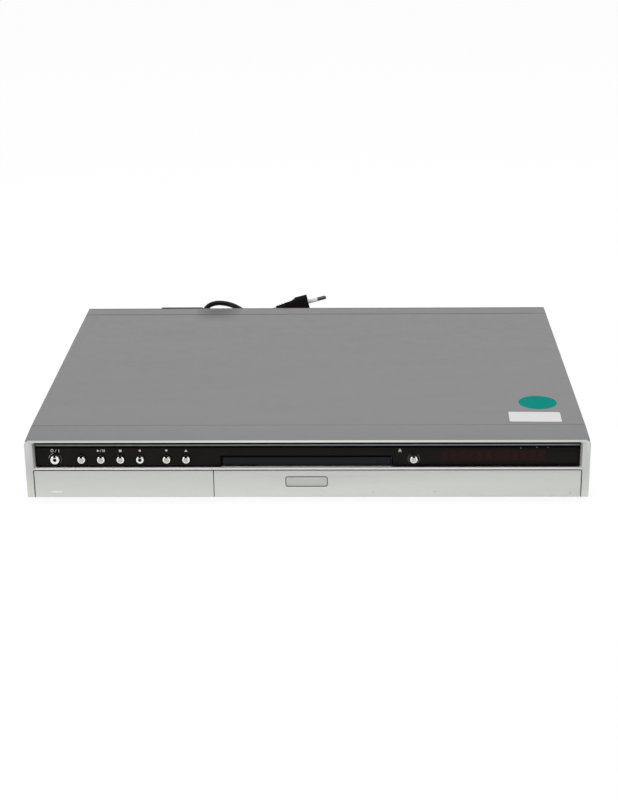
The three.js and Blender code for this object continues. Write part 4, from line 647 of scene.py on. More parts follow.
# Base
# A floor of zinc-plated steel with turned-up sides, rows of vents under the power board and
# standoffs for the loader, the hard drive and the boards.
zinc_steel = coated("zinc_steel", (0.56, 0.57, 0.58), 0.34, 0.9, cloud=0.12, cloud_scale=90)
spangle = zinc_steel.cells(180, "Color")
flake = zinc_steel.node("ShaderNodeSeparateColor", {}, {0: spangle})
zinc_steel.feed("Roughness", 0.28 + flake * 0.14)
dress(copy_of("base_chassis", "base_pan", 0.15), zinc_steel, "case", "zinc_steel", "base_chassis")

# Top cover
# One sheet of steel folded down over both sides, in a satin grey powder coat that is slightly
# cloudy. Painted shade darkens its back edge, the line pressed near that edge and its front edge
# at the seam, and a painted shadow of the cord's arch lies near the back. Each side has two screws.
cover_grey = (0.235, 0.235, 0.236)
cover_paint = coated(
    "cover_paint", cover_grey, 0.5, cloud=0.05, cloud_scale=26, grain=0.02, grain_scale=1500, specular=0.15)
groove_y, groove_half = 142.5, 0.8
seam_y, rear_shade_y = -143.35, 159.2
cord_shadow_x, cord_shadow_y, cord_shadow_width, cord_shadow_depth = -90.5, 152.0, 22, 32
streak = cover_paint.noise(9, 4, (1, 6, 1))
tone = cover_paint.between(shade(cover_grey, 0.96), shade(cover_grey, 1.04), streak)
speck = (cover_paint.cells(45) < 0.012) * (cover_paint.noise(7, 0.0) > 0.56)
tone = cover_paint.over(tone, (0.42, 0.42, 0.42), speck * 0.7)
# Painted shade: the pressed line near the back is darkened as if in shade.
groove_shade = abs(cover_paint.along(1) - groove_y * mm) < groove_half * mm
tone = cover_paint.over(tone, (0.09, 0.09, 0.09), groove_shade * 0.75)
# Painted shadow: a soft dark patch near the back edge, where the cord's arch casts its shadow.
cord_shadow = cover_paint.hump(0, cord_shadow_x, cord_shadow_width)
cord_shadow = cord_shadow * (2 - cord_shadow) * cover_paint.hump(1, cord_shadow_y, cord_shadow_depth)
tone = cover_paint.over(tone, (0.08, 0.08, 0.08), cord_shadow * 0.75)
# Painted shade: the strip along the rounded back edge is darkened.
tone = cover_paint.over(tone, (0.08, 0.08, 0.08), (cover_paint.along(1) > rear_shade_y * mm) * 0.5)
# Painted shade: the cover's front edge at the seam with the flange is darkened.
seam_shade = cover_paint.along(1) < seam_y * mm
cover_paint.feed("Base Color", cover_paint.over(tone, (0.12, 0.12, 0.12), seam_shade * 0.7))
dress(copy_of("top_cover", "cover_shell", 0.25, 3), cover_paint, "case", "cover_paint", "top_cover")


def screw(name, head, place=Matrix.Identity(4)):
    """A pan-head screw with a cross recess, its head's underside at the place."""
    top, shank = head * 0.42, head * 0.45
    body = turned(name, [
        (shank, -0.6), (shank, 0), (head, 0), (head, top * 0.35), (head * 0.86, top * 0.8), (head * 0.55, top),
    ], sides=24)
    for lean in (0, 90):
        corner = Vector((head * 0.55, head * 0.11, top * 1.3))
        arm = slab(name + "_arm", (-corner.x, -corner.y, top * 0.35), corner, 0.02, 1)
        settle(arm, rotated(lean, "Z"))
        select_only(body)
        slot = body.modifiers.new("slot", "BOOLEAN")
        slot.object = arm
        slot.operation = "DIFFERENCE"
        bpy.ops.object.modifier_apply(modifier=slot.name)
        bpy.data.objects.remove(arm)
    settle(body, place)
    return recalculated(body)


side_seat, side_screw_z, side_head = 213.95, 16, 2.4
screws = spread(screw("side_screw", side_head), [
    facing(side * side_seat, y, side_screw_z, "Y", side * 90) for side in (-1, 1) for y in (-105, 125)])
black_zinc = coated("black_zinc", (0.1, 0.1, 0.105), 0.3, 0.8, grain=0.005)
dress(joined("cover_screws", screws), black_zinc, "case", "black_steel")

# Front fascia
# The inner moulding of the front in warm grey satin lacquer. Its flange carries on the line
# of the cover, and its brow shows as a thin line over the window. The brow's top and the wall
# above it, under the rim, are painted near-black as shade.
fascia_grey = (0.222, 0.224, 0.231)
recess_front, recess_back, recess_top = -167.9, -160.0, 51.2
fascia_plastic = coated(
    "fascia_plastic", fascia_grey, 0.46, cloud=0.03, cloud_scale=30, grain_scale=2400, specular=0.15)
# Painted shade: the recess under the rim is darkened to near-black.
recess_shade = (fascia_plastic.along(1) > recess_front * mm) * (fascia_plastic.along(1) < recess_back * mm)
recess_shade = recess_shade * (fascia_plastic.along(2) < recess_top * mm)
fascia_plastic.feed("Base Color", fascia_plastic.over(fascia_plastic.tone, (0.014, 0.007, 0.006), recess_shade))


def trimmed(piece, x, z, cut, slope=0.0):
    """Cuts a slanting strip off both ends' top edges, cut millimetres wide, which may fall to the front."""
    select_only(piece)
    for side in (-1, 1):
        edit_all()
        bpy.ops.mesh.bisect(
            plane_co=(side * (x - cut) * mm, 0, z * mm), plane_no=(side, -slope, 1),
            clear_outer=True, use_fill=True)
    bpy.ops.object.mode_set(mode="OBJECT")
    return piece


cover_top = 54.0
flange_back, flange_half, flange_cut, flange_slope = -144.2, 214.4, 1.1, 0.0614
fascia = copy_of("front_fascia", "fascia_moulding", 0.15)
fascia = trimmed(fascia, flange_half, cover_top - flange_back * flange_slope, flange_cut, flange_slope)
dress(fascia, fascia_plastic, "case", "fascia_plastic", "front_fascia")

# Front frame
# The silver frame in metallic lacquer: a bevelled rim, a pillar at each end with a mitred top
# corner, and a thin ledge under the window, painted near-white as a highlight. The silver carries
# a painted reflection: it grows lighter towards the bottom of the lower panel.
silver = (0.56, 0.575, 0.54)
ledge_low, ledge_high = 28.3, 29.4
panel_low, panel_high = 6.0, 28.0
silver_plastic = coated(
    "silver_plastic", silver, 0.36, 0.1, cloud=0.02, cloud_scale=40, grain=0.006, grain_scale=5000, coat=0.2,
    coat_roughness=0.2)
flakes = silver_plastic.node("ShaderNodeSeparateColor", {}, {0: silver_plastic.cells(6000, "Color")})
sparkle = silver_plastic.between(shade(silver, 0.965), shade(silver, 1.035), flakes)
# Painted reflection: the silver grows lighter from the panel's top to its bottom.
painted_reflection_below = silver_plastic.node("ShaderNodeMapRange", {}, {
    "Value": silver_plastic.along(2), "From Min": panel_high * mm, "From Max": panel_low * mm})
silver_plastic.feed("Base Color", silver_plastic.over(sparkle, shade(silver, 1.33), painted_reflection_below * 0.85))
# Painted highlight: the ledge's faces are painted near-white, as the ledge looks in the light.
ledge_highlight = coated(
    "ledge_highlight", (1.0, 1.0, 0.97), 0.3, cloud=0.02, grain=0.004, coat=0.3, coat_roughness=0.15)
frame_half, frame_top, frame_cut = 215, 52.3, 3.0
silver_frame = trimmed(copy_of("front_frame", "silver_frame", 0.3, 3), frame_half, frame_top, frame_cut)
dress(silver_frame, silver_plastic, "case", "silver_plastic", "front_frame")
repaint(silver_frame, ledge_highlight, lambda at, out: ledge_low < at.z < ledge_high and abs(at.x) < 208)

# Window strip
# A strip of polished smoked plastic along the whole front, with round holes for the buttons
# and a notch for the tray. Thin matt black slabs are painted shade: along the strip's top under
# the brow, along the rim's lower edge, round the notch, on the mouth's floor, along the strip's
# bottom and on the ledge in front of it.
smoked = (0.0088, 0.0078, 0.006)
strip_front, strip_face, band_back = -168.0, -168.03, -167.7
strip_half, strip_top, strip_bottom = 207.2, 45.9, 29.5
mouth_half, mouth_top = 65.0, 37.4
shade_band, mouth_shade_band = 1.3, 1.0
smoked_plastic = Finish("smoked_plastic", smoked, 0.12, specular=0.07)
haze = smoked_plastic.noise(35)
smoked_plastic.feed("Base Color", smoked_plastic.between(shade(smoked, 0.8), shade(smoked, 1.25), haze))
smoked_plastic.feed("Roughness", 0.1 + haze * 0.08)
dress(
    copy_of("window_strip", "window_moulding", 0.12), smoked_plastic, "case", "smoked_plastic", "window_strip")
matt_black = coated("matt_black", (0.0015, 0.0014, 0.0014), 0.7, specular=0.03)
mouth_edge = mouth_half + 0.9
# Painted shade: matt black slabs where shade falls round the strip, the notch and the mouth.
shade_slabs = [slab("band", low, high, 0.01, 1) for low, high in (
    ((-strip_half, strip_face, strip_top - shade_band), (strip_half, band_back, strip_top + 0.5)),
    ((-strip_half, -173.03, 50.72), (strip_half, -172.6, 51.0)),
    ((-mouth_half, -166.9, 29.22), (mouth_half, -166.0, 29.68)),
    ((-mouth_edge, strip_face, mouth_top + 0.02), (mouth_edge, band_back, mouth_top + mouth_shade_band)),
)]
shade_slabs.append(slab("band", (-strip_half, strip_front - 1.3, 29.19), (strip_half, strip_front, 29.23), 0.005, 1))
for side in (-1, 1):
    for inner, outer, top in (
        (mouth_half + 0.02, mouth_edge, mouth_top + 0.02), (mouth_half, strip_half, strip_bottom + 0.75),
    ):
        low_x, high_x = sorted((side * inner, side * outer))
        shade_slabs.append(slab("band", (low_x, strip_face, strip_bottom), (high_x, band_back, top), 0.01, 1))
dress(joined("window_shade_bands", shade_slabs), matt_black, "case", "smoked_plastic")

# Printed signs
# Pale signs over the buttons: a ring and a bar, play and pause, stop, a red dot, down, up and
# eject. Each is a thin raised print on the strip.
print_rise = 0.04
sign_z = 42.5
panel_front = -172.77
buttons = {
    "power": -192.49, "source": -172.20, "play": -157.20, "stop": -142.20, "record": -127.20,
    "channel_down": -106.90, "channel_up": -91.91, "open_close": 81.70,
}


def printed(sides, width, height, x, z, degrees=0, hole=0.0, lean=0, front=strip_front, rise=print_rise):
    """A flat printed shape on an upright face, with a hole if it is a ring. Its first corner
    points up before it is turned by the degrees, drawn to size and leant."""
    bpy.ops.object.select_all(action="DESELECT")
    bpy.ops.mesh.primitive_circle_add(vertices=sides, radius=0.5, fill_type="NOTHING" if hole else "NGON")
    piece = bpy.context.object
    edit_all()
    if hole:
        bpy.ops.mesh.extrude_region_move()
        bpy.ops.transform.resize(value=(hole, hole, 1), center_override=(0, 0, 0))
        bpy.ops.mesh.select_all(action="SELECT")
    bpy.ops.mesh.extrude_region_move(TRANSFORM_OT_translate={"value": (0, 0, rise)})
    bpy.ops.object.mode_set(mode="OBJECT")
    grown = rotated(lean, "Z") @ Matrix.Diagonal((width, height, 1, 1)) @ rotated(degrees, "Z")
    place = Matrix.Scale(mm, 4) @ Matrix.Translation((x, front, z)) @ rotated(90, "X")
    return recalculated(settle(piece, place @ grown))


def box_sign(width, height, x, z, lean=0):
    return printed(4, width * math.sqrt(2), height * math.sqrt(2), x, z, 45, lean=lean)


power_x, play_x, eject_x = buttons["power"], buttons["play"], buttons["open_close"] - 10.6
signs = [
    printed(32, 2.5, 2.4, power_x - 2.0, sign_z, hole=0.72),
    box_sign(0.4, 1.3, power_x - 2.0, sign_z + 1.0),
    box_sign(0.3, 2.6, power_x + 0.8, sign_z, -22),
    box_sign(0.4, 2.5, power_x + 3.2, sign_z),
    printed(3, 2.7, 2.5, play_x - 2.2, sign_z, -90),
    box_sign(0.3, 2.4, play_x, sign_z, -22),
    box_sign(0.6, 2.0, play_x + 1.7, sign_z),
    box_sign(0.6, 2.0, play_x + 2.8, sign_z),
    box_sign(2.0, 1.9, buttons["stop"], sign_z),
    printed(3, 2.8, 2.5, buttons["channel_down"], sign_z + 0.2, 180),
    printed(3, 2.8, 2.5, buttons["channel_up"], sign_z - 0.2),
    printed(3, 3.0, 2.1, eject_x, sign_z + 0.3),
    box_sign(2.5, 0.45, eject_x, sign_z - 1.0),
]
sign_paint = coated("sign_paint", (0.62, 0.62, 0.58), 0.5, cloud=0.1, cloud_scale=900)
dress(joined("printed_signs", signs), sign_paint, "case", "silver_plastic")
wear = [printed(6, width, 0.5, x, z, front=front) for width, x, z, front in (
    (0.7, 162.8, 44.3, strip_front), (0.8, 174.9, 44.9, strip_front), (0.6, 183.2, 44.9, strip_front),
    (1.6, 51.0, 9.8, panel_front), (2.2, 98.0, 10.5, panel_front), (1.8, 200.7, 9.2, panel_front))]
wear_paint = coated("wear_paint", (0.34, 0.34, 0.32), 0.6, cloud=0.1)
dress(joined("wear_marks", wear), wear_paint, "case", "smoked_plastic")
record_paint = coated("record_paint", (0.7, 0.58, 0.5), 0.5, cloud=0.1, cloud_scale=900)
record_sign = printed(24, 1.8, 1.8, buttons["record"], sign_z)
record_sign.name = "record_sign"
dress(record_sign, record_paint, "case", "silver_plastic")

# Display
# Twelve unlit characters of thirteen bars each, dull dark red on a slightly red ground behind
# the smoked strip. One character is modelled and copied.
character_count = 12
display_left, display_right = 102.0, 181.5
ground_low, ground_high = 33.9, 42.7
character_height = 7.2
character_width = 4.3
bar_width = 0.62
display_z = 38.3
bars = [
    printed(6, character_width - 0.3, bar_width * 1.2, 0, share * character_height / 2, 30)
    for share in (-1, 0, 1)]
for level_share in (-0.25, 0.25):
    z, length = level_share * character_height, character_height / 2
    for side in (-1, 0, 1):
        bars.append(printed(6, bar_width * 1.2, length - 0.2, side * character_width / 2, z))
    for side in (-1, 1):
        lean = -33 if side * level_share > 0 else 33
        bars.append(box_sign(bar_width * 0.7, length - 0.9, side * character_width / 4, z, lean))
slant = Matrix(((1, 0, 0.08, 0), (0, 1, 0, 0), (0, 0, 1, 0), (0, 0, 0, 1)))
pitch = (display_right - display_left) / character_count
characters = spread(joined("character", bars), [
    shifted(display_left + pitch * (i + 0.5), 0, display_z) @ slant for i in range(character_count)])
display_red = coated("display_red", (0.029, 0.0102, 0.0105), 0.35, cloud=0.35, cloud_scale=120, specular=0.05)
display_ground = coated(
    "display_ground", (0.0165, 0.0087, 0.0083), 0.35, cloud=0.2, cloud_scale=90, specular=0.05)
ground = slab(
    "ground", (display_left - 0.6, strip_front - 0.012, ground_low),
    (display_right + 0.6, strip_front + 0.3, ground_high), 0.005, 1)
ground.data.materials.append(display_ground.material)
characters = joined("characters", characters)
characters.data.materials.append(display_red.material)
dress(joined("display_characters", [characters, ground]), None, "case", "smoked_plastic")

# Buttons
# Eight polished caps of metallic lacquer, each with a painted dark reflection at its top. Most have
# a satin face, while power and record are bright with a dark dot. A thin ring round power and
# open/close carries painted glints on part of it, and a thin dark ring round each button is painted
# shade in its gap.
button_front, button_z = -170.8, 35.7
plain_radius, power_radius = 3.1, 3.65
rim_share, reflection_width = 0.66, 2.1
glint_rise, glint_left, glint_half, glint_right = 0.8, 1.2, 3.4, 2
polished = coated("polished_cap", (0.93, 0.91, 0.85), 0.1, 0.9, cloud=0.03, cloud_scale=300, grain=0.002)
bright_face = coated("bright_face", (0.86, 0.85, 0.8), 0.2, 0.3, cloud=0.03, cloud_scale=300, grain=0.002)
satin = coated("satin_cap", (0.52, 0.54, 0.49), 0.3, 0.3, cloud=0.05, cloud_scale=500, grain=0.004)
ring_metal = coated("ring_metal", (0.3, 0.29, 0.27), 0.2, 0.9)
# Painted glints: light on the ring's upper left part and, fainter, across its middle on the right.
upper = ring_metal.along(2) > (button_z + glint_rise) * mm
corner = upper * (ring_metal.along(0) < (power_x - glint_left) * mm)
level_part = abs(ring_metal.along(2) - button_z * mm) < glint_half * mm
level_part = level_part * (ring_metal.along(0) > (power_x + glint_right) * mm)
lit = corner * 0.9 + level_part * 0.3
ring_metal.feed("Base Color", ring_metal.between((0.012, 0.012, 0.012), (0.62, 0.61, 0.58), lit))


def button_model(radius, face, dotted):
    """A cap round the Z axis at x 0, with a dark block at its top as a painted reflection, and a dark dot if
    it has one.
    """
    flat = radius * rim_share
    profile = [(0.2, 0.35), (flat * 0.75, 0.3), (flat * 0.96, 0.22), (flat, 0.0), (radius * 0.8, 0.08)]
    profile += [(radius * 0.91, 0.35), (radius * 0.975, 0.8), (radius, 1.4), (radius, 7.3)]
    profile += [(radius + 1, 7.3), (radius + 1, 8.1), (1.5, 8.1), (1.5, 8.9)]
    place = facing(0, button_front, button_z)
    cap = turned("cap", profile, place, 64)
    cap.data.materials.append(polished.material)
    repaint(cap, face, lambda at, out: math.hypot(at.x, at.z - button_z) < flat and at.y < button_front + 0.5)
    # Painted reflection: a matt black block at the top of the cap's face.
    dark_reflection = slab(
        "dark_reflection", (-reflection_width / 2, button_front - 0.04, button_z + flat * 0.8),
        (reflection_width / 2, button_front + 1.5, button_z + radius + 0.02), 0.15)
    dark_reflection.data.materials.append(matt_black.material)
    parts = [cap, dark_reflection]
    if dotted:
        dot = turned("dot", [(0.3, 0.1), (1.1, 0.12), (1.3, 0.2), (1.3, 0.5)], place, 24)
        dot.data.materials.append(matt_black.material)
        parts.append(dot)
    return joined("button", parts)


def ring_round(x, outer, inner, rise, finish):
    """A thin ring round a button: a dark one is painted shade in its gap, a metal one has painted glints."""
    ring = printed(64, 2 * outer, 2 * outer, x, button_z, hole=inner / outer, rise=rise)
    ring.data.materials.append(finish.material)
    return ring


plain_button = button_model(plain_radius, satin, False)
record_button = button_model(plain_radius, bright_face, True)
power_button = button_model(power_radius, bright_face, True)
for name, x in buttons.items():
    node, body = name + "_button", name + "_key"
    model = {"power": power_button, "record": record_button}.get(name, plain_button)
    radius = power_radius if model is power_button else plain_radius
    dress(copied(model, node + "_cap", shifted(x, 0, 0)), None, body, "button_plastic", node)
    # Painted shade: a dark ring in the gap round each button.
    rings = [ring_round(x, radius + 0.65, radius + 0.06, 0.05, matt_black)]
    if name in ("power", "open_close"):
        rings.append(ring_round(x, radius + 1.3, radius + 1.1, 0.06, ring_metal))
    dress(joined(node + "_ring", rings), None, "case", "smoked_plastic")
for model in (plain_button, record_button, power_button):
    bpy.data.objects.remove(model)

# Lower panel, badge plate and flip-down door
# Silver mouldings under the ledge. The panel has a shallow place with a plain plate, and the
# door has a small crescent for a finger near its outer end. Thin matt black lines in the gaps under
# the ledge, beside the door and at the panel's ends are painted shade.
panel_ease = 0.35
badge_silver = coated(
    "badge_silver", shade(silver, 0.95), 0.34, 0.1, cloud=0.03, cloud_scale=200, grain=0.006)
for node, name, body in (
    ("lower_panel", "panel_moulding", "case"),
    ("badge_plate", "plain_badge", "case"),
    ("input_door", "door_moulding", "door"),
):
    finish, ease = (badge_silver, 0.15) if node == "badge_plate" else (silver_plastic, panel_ease)
    dress(copy_of(node, name, ease, 3), finish, body, "silver_plastic", node)
# Painted shade: matt black lines in the gaps, where shade falls.
gap_shade_lines = [slab("line", low, high, 0.02, 1) for low, high in (
    ((-208.3, -173.03, 28.34), (208.3, -172.3, 28.84)),
    ((-71.24, -172.2, 6.1), (-70.76, -171.2, 27.9)),
    ((-209.15, -173.02, 6.1), (-208.72, -172.8, 28.4)),
    ((208.72, -173.02, 6.1), (209.15, -172.8, 28.4)),
)]
dress(joined("gap_shade_lines", gap_shade_lines), matt_black, "case", "black_plastic")
mark_x, mark_z = -192.0, 10.9
mark_width, mark_height, mark_front = 9.9, 0.9, -172.81
crescent = printed(48, mark_width, mark_height * 2, mark_x, mark_z, front=mark_front)
crescent.name = "finger_mark"
select_only(crescent)
edit_all()
bpy.ops.mesh.bisect(plane_co=(0, 0, mark_z * mm), plane_no=(0, 0, 1), clear_outer=True, use_fill=True)
bpy.ops.object.mode_set(mode="OBJECT")
mark_paint = coated("mark_paint", (0.98, 0.98, 0.95), 0.4, cloud=0.02)
dress(recalculated(crescent), mark_paint, "door", "silver_plastic")

# Stickers
# Two bare paper stickers that lie on the cover: a round teal one and a white label with
# rounded corners. A thin dark outline round the badge plate on the front is painted shade in
# its gap.
sticker_rise = 0.03
badge_shade_front = -172.78
teal_x, teal_y, teal_radius = 182.4, -95.0, 15.2
label_x, label_y, label_width, label_depth = 177.1, -127.0, 40.2, 21.2
teal_paper = coated("teal_paper", (0.009, 0.242, 0.203), 0.5, cloud=0.08, cloud_scale=80, specular=0.0)
teal = turned(
    "round_sticker", [(teal_radius, 0), (teal_radius, sticker_rise)], shifted(teal_x, teal_y, cover_top), 96)
dress(teal, teal_paper, "case", "cover_paint")
label_paper = coated("label_paper", (0.69, 0.68, 0.68), 0.6, cloud=0.03, cloud_scale=120, specular=0.1)


def sheet(name, width, depth, corner, place, line=0.0):
    """A thin sheet with rounded corners on the XY plane, or only its outline of a line's width."""
    rounded_plane(name, width, depth, corner, 6)
    if line:
        bpy.ops.mesh.inset(thickness=line * mm)
        bpy.ops.mesh.delete(type="FACE")
        bpy.ops.mesh.select_all(action="SELECT")
    bpy.ops.mesh.extrude_region_move(TRANSFORM_OT_translate={"value": (0, 0, sticker_rise * mm)})
    bpy.ops.object.mode_set(mode="OBJECT")
    return recalculated(settle(bpy.context.object, place))


label_place = facing(label_x, label_y, cover_top, "Z", -1.6)
dress(sheet("white_label", label_width, label_depth, 1.6, label_place), label_paper, "case", "cover_paint")
# Painted shade: a thin dark outline where the gap round the badge plate lies in shade.
badge_gap_shade = coated("badge_gap_shade", (0.06, 0.062, 0.06), 0.5, cloud=0.1)
badge = box_of("badge_plate")[2]
badge_shade_place = facing(badge.x, badge_shade_front, badge.z, "X", 90)
badge_shade_line = sheet("badge_shade_outline", 32.3, 8.5, 1.8, badge_shade_place, 0.55)
dress(badge_shade_line, badge_gap_shade, "case", "silver_plastic")

# Disc tray and its door
# The tray is moulded in dark grey with a recess for each disc size. Its door is bluish black
# and polished, and closes the mouth with a narrow gap all round.
tray_plastic = coated(
    "tray_plastic", (0.018, 0.019, 0.022), 0.5, cloud=0.1, grain=0.03, grain_scale=1600, specular=0.15)
dress(copy_of("disc_tray", "tray_moulding", 0.2), tray_plastic, "tray", "tray_plastic", "disc_tray")
door_plastic = coated("tray_door_plastic", (0.011, 0.0125, 0.015), 0.16, cloud=0.1, grain=0.004, specular=0.1)
dress(copy_of("tray_door", "tray_door_moulding", 0.3, 3), door_plastic, "tray", "smoked_plastic", "tray_door")

# Rear panel
# Black painted steel, cut out for the sockets, the fan and the cord, with small screws and a
# bare label by the fan.
rear_face, rear_head = 161.4, 2.2
rear_label_x, rear_label_z = -180, 29
black_steel = coated(
    "black_steel", (0.022, 0.022, 0.023), 0.45, 0.1, cloud=0.1, grain=0.02, grain_scale=1500, specular=0.25)
dress(copy_of("rear_panel", "rear_plate", 0.12), black_steel, "case", "black_steel", "rear_panel")
rear_screw = screw("rear_screw", rear_head, facing(0, rear_face, 0))
screws = [copied(rear_screw, "rear_screw", shifted(x, 0, z)) for x, z in (
    (-206, 45), (-206, 12), (-158, 47), (-90, 47), (-90, 12), (-8, 44), (-8, 11), (21, 24), (21, 47),
    (81.2, 24), (81.2, 44), (155, 31), (117, 50), (206, 45), (206, 12))]
dress(joined("rear_screws", screws), black_zinc, "case", "black_steel")
rear_label = sheet("rear_label", 42, 24, 1.2, facing(rear_label_x, rear_face, rear_label_z))
dress(rear_label, label_paper, "case", "black_steel")

# Inner and rear pieces
# The nodes whose own shape is right are eased and finished in a loop: sockets, boards, the
# loader with its drive, the traverse, the clamp, the hard drive and the fan.
black_plastic = coated(
    "black_plastic", (0.01, 0.01, 0.0105), 0.5, cloud=0.15, grain=0.03, grain_scale=1600, specular=0.15)
white_plastic = coated("white_plastic", (0.66, 0.64, 0.58), 0.5, cloud=0.04, grain=0.02)
bright_steel = coated("bright_steel", (0.62, 0.63, 0.64), 0.24, 1.0, cloud=0.06, grain=0.004)
cast_aluminium = coated(
    "cast_aluminium", (0.56, 0.57, 0.58), 0.42, 0.9, cloud=0.08, grain=0.06, grain_scale=900)
belt_rubber = coated("belt_rubber", (0.012, 0.012, 0.012), 0.75, grain=0.02)
screw_brass = coated("screw_brass", (0.56, 0.42, 0.17), 0.26, 1.0)
brown_board = coated("brown_board", (0.3, 0.19, 0.08), 0.45, cloud=0.12, cloud_scale=400)
green_board = coated("green_board", (0.02, 0.1, 0.045), 0.32, cloud=0.12, cloud_scale=300)
made = {}
for node, body, finish, slot, ease in (
    ("front_board", "case", brown_board, "brown_board", 0.08),
    ("display_module", "case", black_plastic, "black_plastic", 0.3),
    ("input_socket_panel", "case", black_plastic, "black_plastic", 0.15),
    ("loader_frame", "case", white_plastic, "white_plastic", 0.2),
    ("drive_gear", "gear", white_plastic, "white_plastic", 0.08),
    ("loading_motor", "case", bright_steel, "bright_steel", 0.3),
    ("motor_pulley", "pulley", white_plastic, "white_plastic", 0.1),
    ("drive_belt", "case", belt_rubber, "belt_rubber", 0.1),
    ("traverse_frame", "traverse", zinc_steel, "zinc_steel", 0.15),
    ("guide_rod", "traverse", bright_steel, "bright_steel", 0.1),
    ("sled_motor", "traverse", black_plastic, "black_plastic", 0.5),
    ("spindle_motor", "traverse", bright_steel, "bright_steel", 0.3),
    ("turntable", "spindle", black_plastic, "black_plastic", 0.15),
    ("optical_pickup", "pickup", black_plastic, "black_plastic", 0.2),
    ("clamp_bridge", "case", zinc_steel, "zinc_steel", 0.1),
    ("clamp_puck", "puck", white_plastic, "white_plastic", 0.2),
    ("hard_drive", "case", cast_aluminium, "cast_aluminium", 0.4),
    ("hard_drive_bracket", "case", zinc_steel, "zinc_steel", 0.15),
    ("power_board", "case", brown_board, "brown_board", 0.15),
    ("heat_sink", "case", cast_aluminium, "cast_aluminium", 0.15),
    ("main_board", "case", green_board, "green_board", 0.1),
    ("scart_socket_one", "case", black_plastic, "black_plastic", 0.2),
    ("scart_socket_two", "case", black_plastic, "black_plastic", 0.2),
    ("jack_block", "case", black_plastic, "black_plastic", 0.15),
    ("aerial_tuner", "case", bright_steel, "bright_steel", 0.15),
    ("fan_housing", "case", matt_black, "black_plastic", 0.12),
    ("fan_rotor", "rotor", black_plastic, "black_plastic", 0.15),
):
    made[node] = dress(copy_of(node, node + "_finished", ease), finish, body, slot, node)

# Lead screw
# A brass rod with a coarse single thread of 3 mm, which drives the pickup. The thread is a round
# rod swept along a tight helix.
thread_pitch, thread_depth, thread_core, thread_sides = 3.0, 0.22, 1.26, 16
thread_low, thread_high, thread_middle = box_of("lead_screw")
thread_length = thread_high.y - thread_low.y
thread_steps = round(thread_length / thread_pitch * 12)
thread_line, thread_section = [], []
for i in range(thread_steps + 1):
    y = thread_low.y + thread_length * i / thread_steps
    angle = 2 * math.pi * y / thread_pitch
    x, z = thread_middle.x + thread_depth * math.cos(angle), thread_middle.z + thread_depth * math.sin(angle)
    thread_line.append(Vector((x, y, z)) * mm)
for k in range(thread_sides):
    angle = 2 * math.pi * k / thread_sides
    thread_section.append((thread_core * math.cos(angle) * mm, thread_core * math.sin(angle) * mm))
thread = swept("lead_screw_thread", thread_line, thread_section)
dress(thread, screw_brass, "screw", "screw_brass", "lead_screw")

# Parts on the boards and in the loader
# Electrolytic capacitors in dark sleeves with bare tops, the taped transformer on its core, the
# black chips and switches, the glass lens of the pickup and a bare label on the hard drive.
board_top, front_board_face = 16.1, -160.05
transformer_x, transformer_half, core_half = -150.0, 19, 9.6
capacitor_x, capacitor_half, capacitor_tops = -112.0, 12, 41.5
lens_y, lens_radius, lens_low = -74.9, 3.2, 31.5
capacitor_sleeve = coated("capacitor_sleeve", (0.012, 0.016, 0.04), 0.35, cloud=0.1)
winding_tape = coated("winding_tape", (0.5, 0.3, 0.04), 0.4, cloud=0.1)
ferrite = coated("ferrite", (0.05, 0.05, 0.052), 0.6, cloud=0.2)
lens_glass = coated("lens_glass", (0.12, 0.16, 0.3), 0.06, 0.4, cloud=0.02)
board = made["power_board"]
for finish, middle, half, low, upward in (
    (capacitor_sleeve, capacitor_x, capacitor_half, board_top, -2),
    (bright_steel, capacitor_x, capacitor_half, capacitor_tops, 0.9),
    (winding_tape, transformer_x, transformer_half, board_top, -2),
    (ferrite, transformer_x, core_half, board_top, -2),
):
    repaint(board, finish, lambda at, out: at.z > low and out.z > upward and abs(at.x - middle) < half)
repaint(made["main_board"], black_plastic, lambda at, out: at.z > board_top)
repaint(made["front_board"], black_plastic, lambda at, out: at.y < front_board_face)
repaint(
    made["optical_pickup"], lens_glass,
    lambda at, out: at.z > lens_low and math.hypot(at.x, at.y - lens_y) < lens_radius)
drive_high, drive_middle = box_of("hard_drive")[1:]
drive_place = shifted(drive_middle.x, drive_middle.y, drive_high.z - 0.02)
drive_label = sheet("drive_label", 78, 96, 3, drive_place)
dress(drive_label, label_paper, "case", "cast_aluminium")

# Contacts of the sockets
# Each round jack has a metal sleeve and a coloured core, and the flat sockets have two rows of
# contacts. The aerial sockets have a white insulator round a pin or a tube.
jack_tip, jack_z = 168.4, (24.2, 38.2)
sleeve_front, front_sleeve_back, sleeves_left = 161.8, -164.2, -178
front_tip, front_z, video_x, video_floor = -168.0, 18.2, -190, -159.5
scart_depth, scart_pitch, scart_row = 10.5, 3.6, 2.6
jack_core = turned("jack_core", [
    (3.2, -0.5), (3.2, 0.01), (3.05, 0.05), (1.85, 0.05), (1.62, -0.2), (1.62, -6)], sides=32)
repaint(made["jack_block"], bright_steel, lambda at, out: at.y > sleeve_front)
repaint(
    made["input_socket_panel"], bright_steel,
    lambda at, out: at.y < front_sleeve_back and at.x > sleeves_left)
for colour, base, rear_x, front_x in (
    ("yellow", (0.75, 0.5, 0.02), 134, -172),
    ("white", (0.7, 0.7, 0.66), 117, -158),
    ("red", (0.5, 0.02, 0.02), 100, -144),
):
    core_plastic = coated("core_" + colour, base, 0.4, cloud=0.05)
    cores = [copied(jack_core, "core", facing(rear_x, jack_tip, z)) for z in jack_z]
    cores.append(copied(jack_core, "core", facing(front_x, front_tip, front_z, "X", 90)))
    dress(joined("jack_cores_" + colour, cores), core_plastic, "case", "black_plastic")
bpy.data.objects.remove(jack_core)

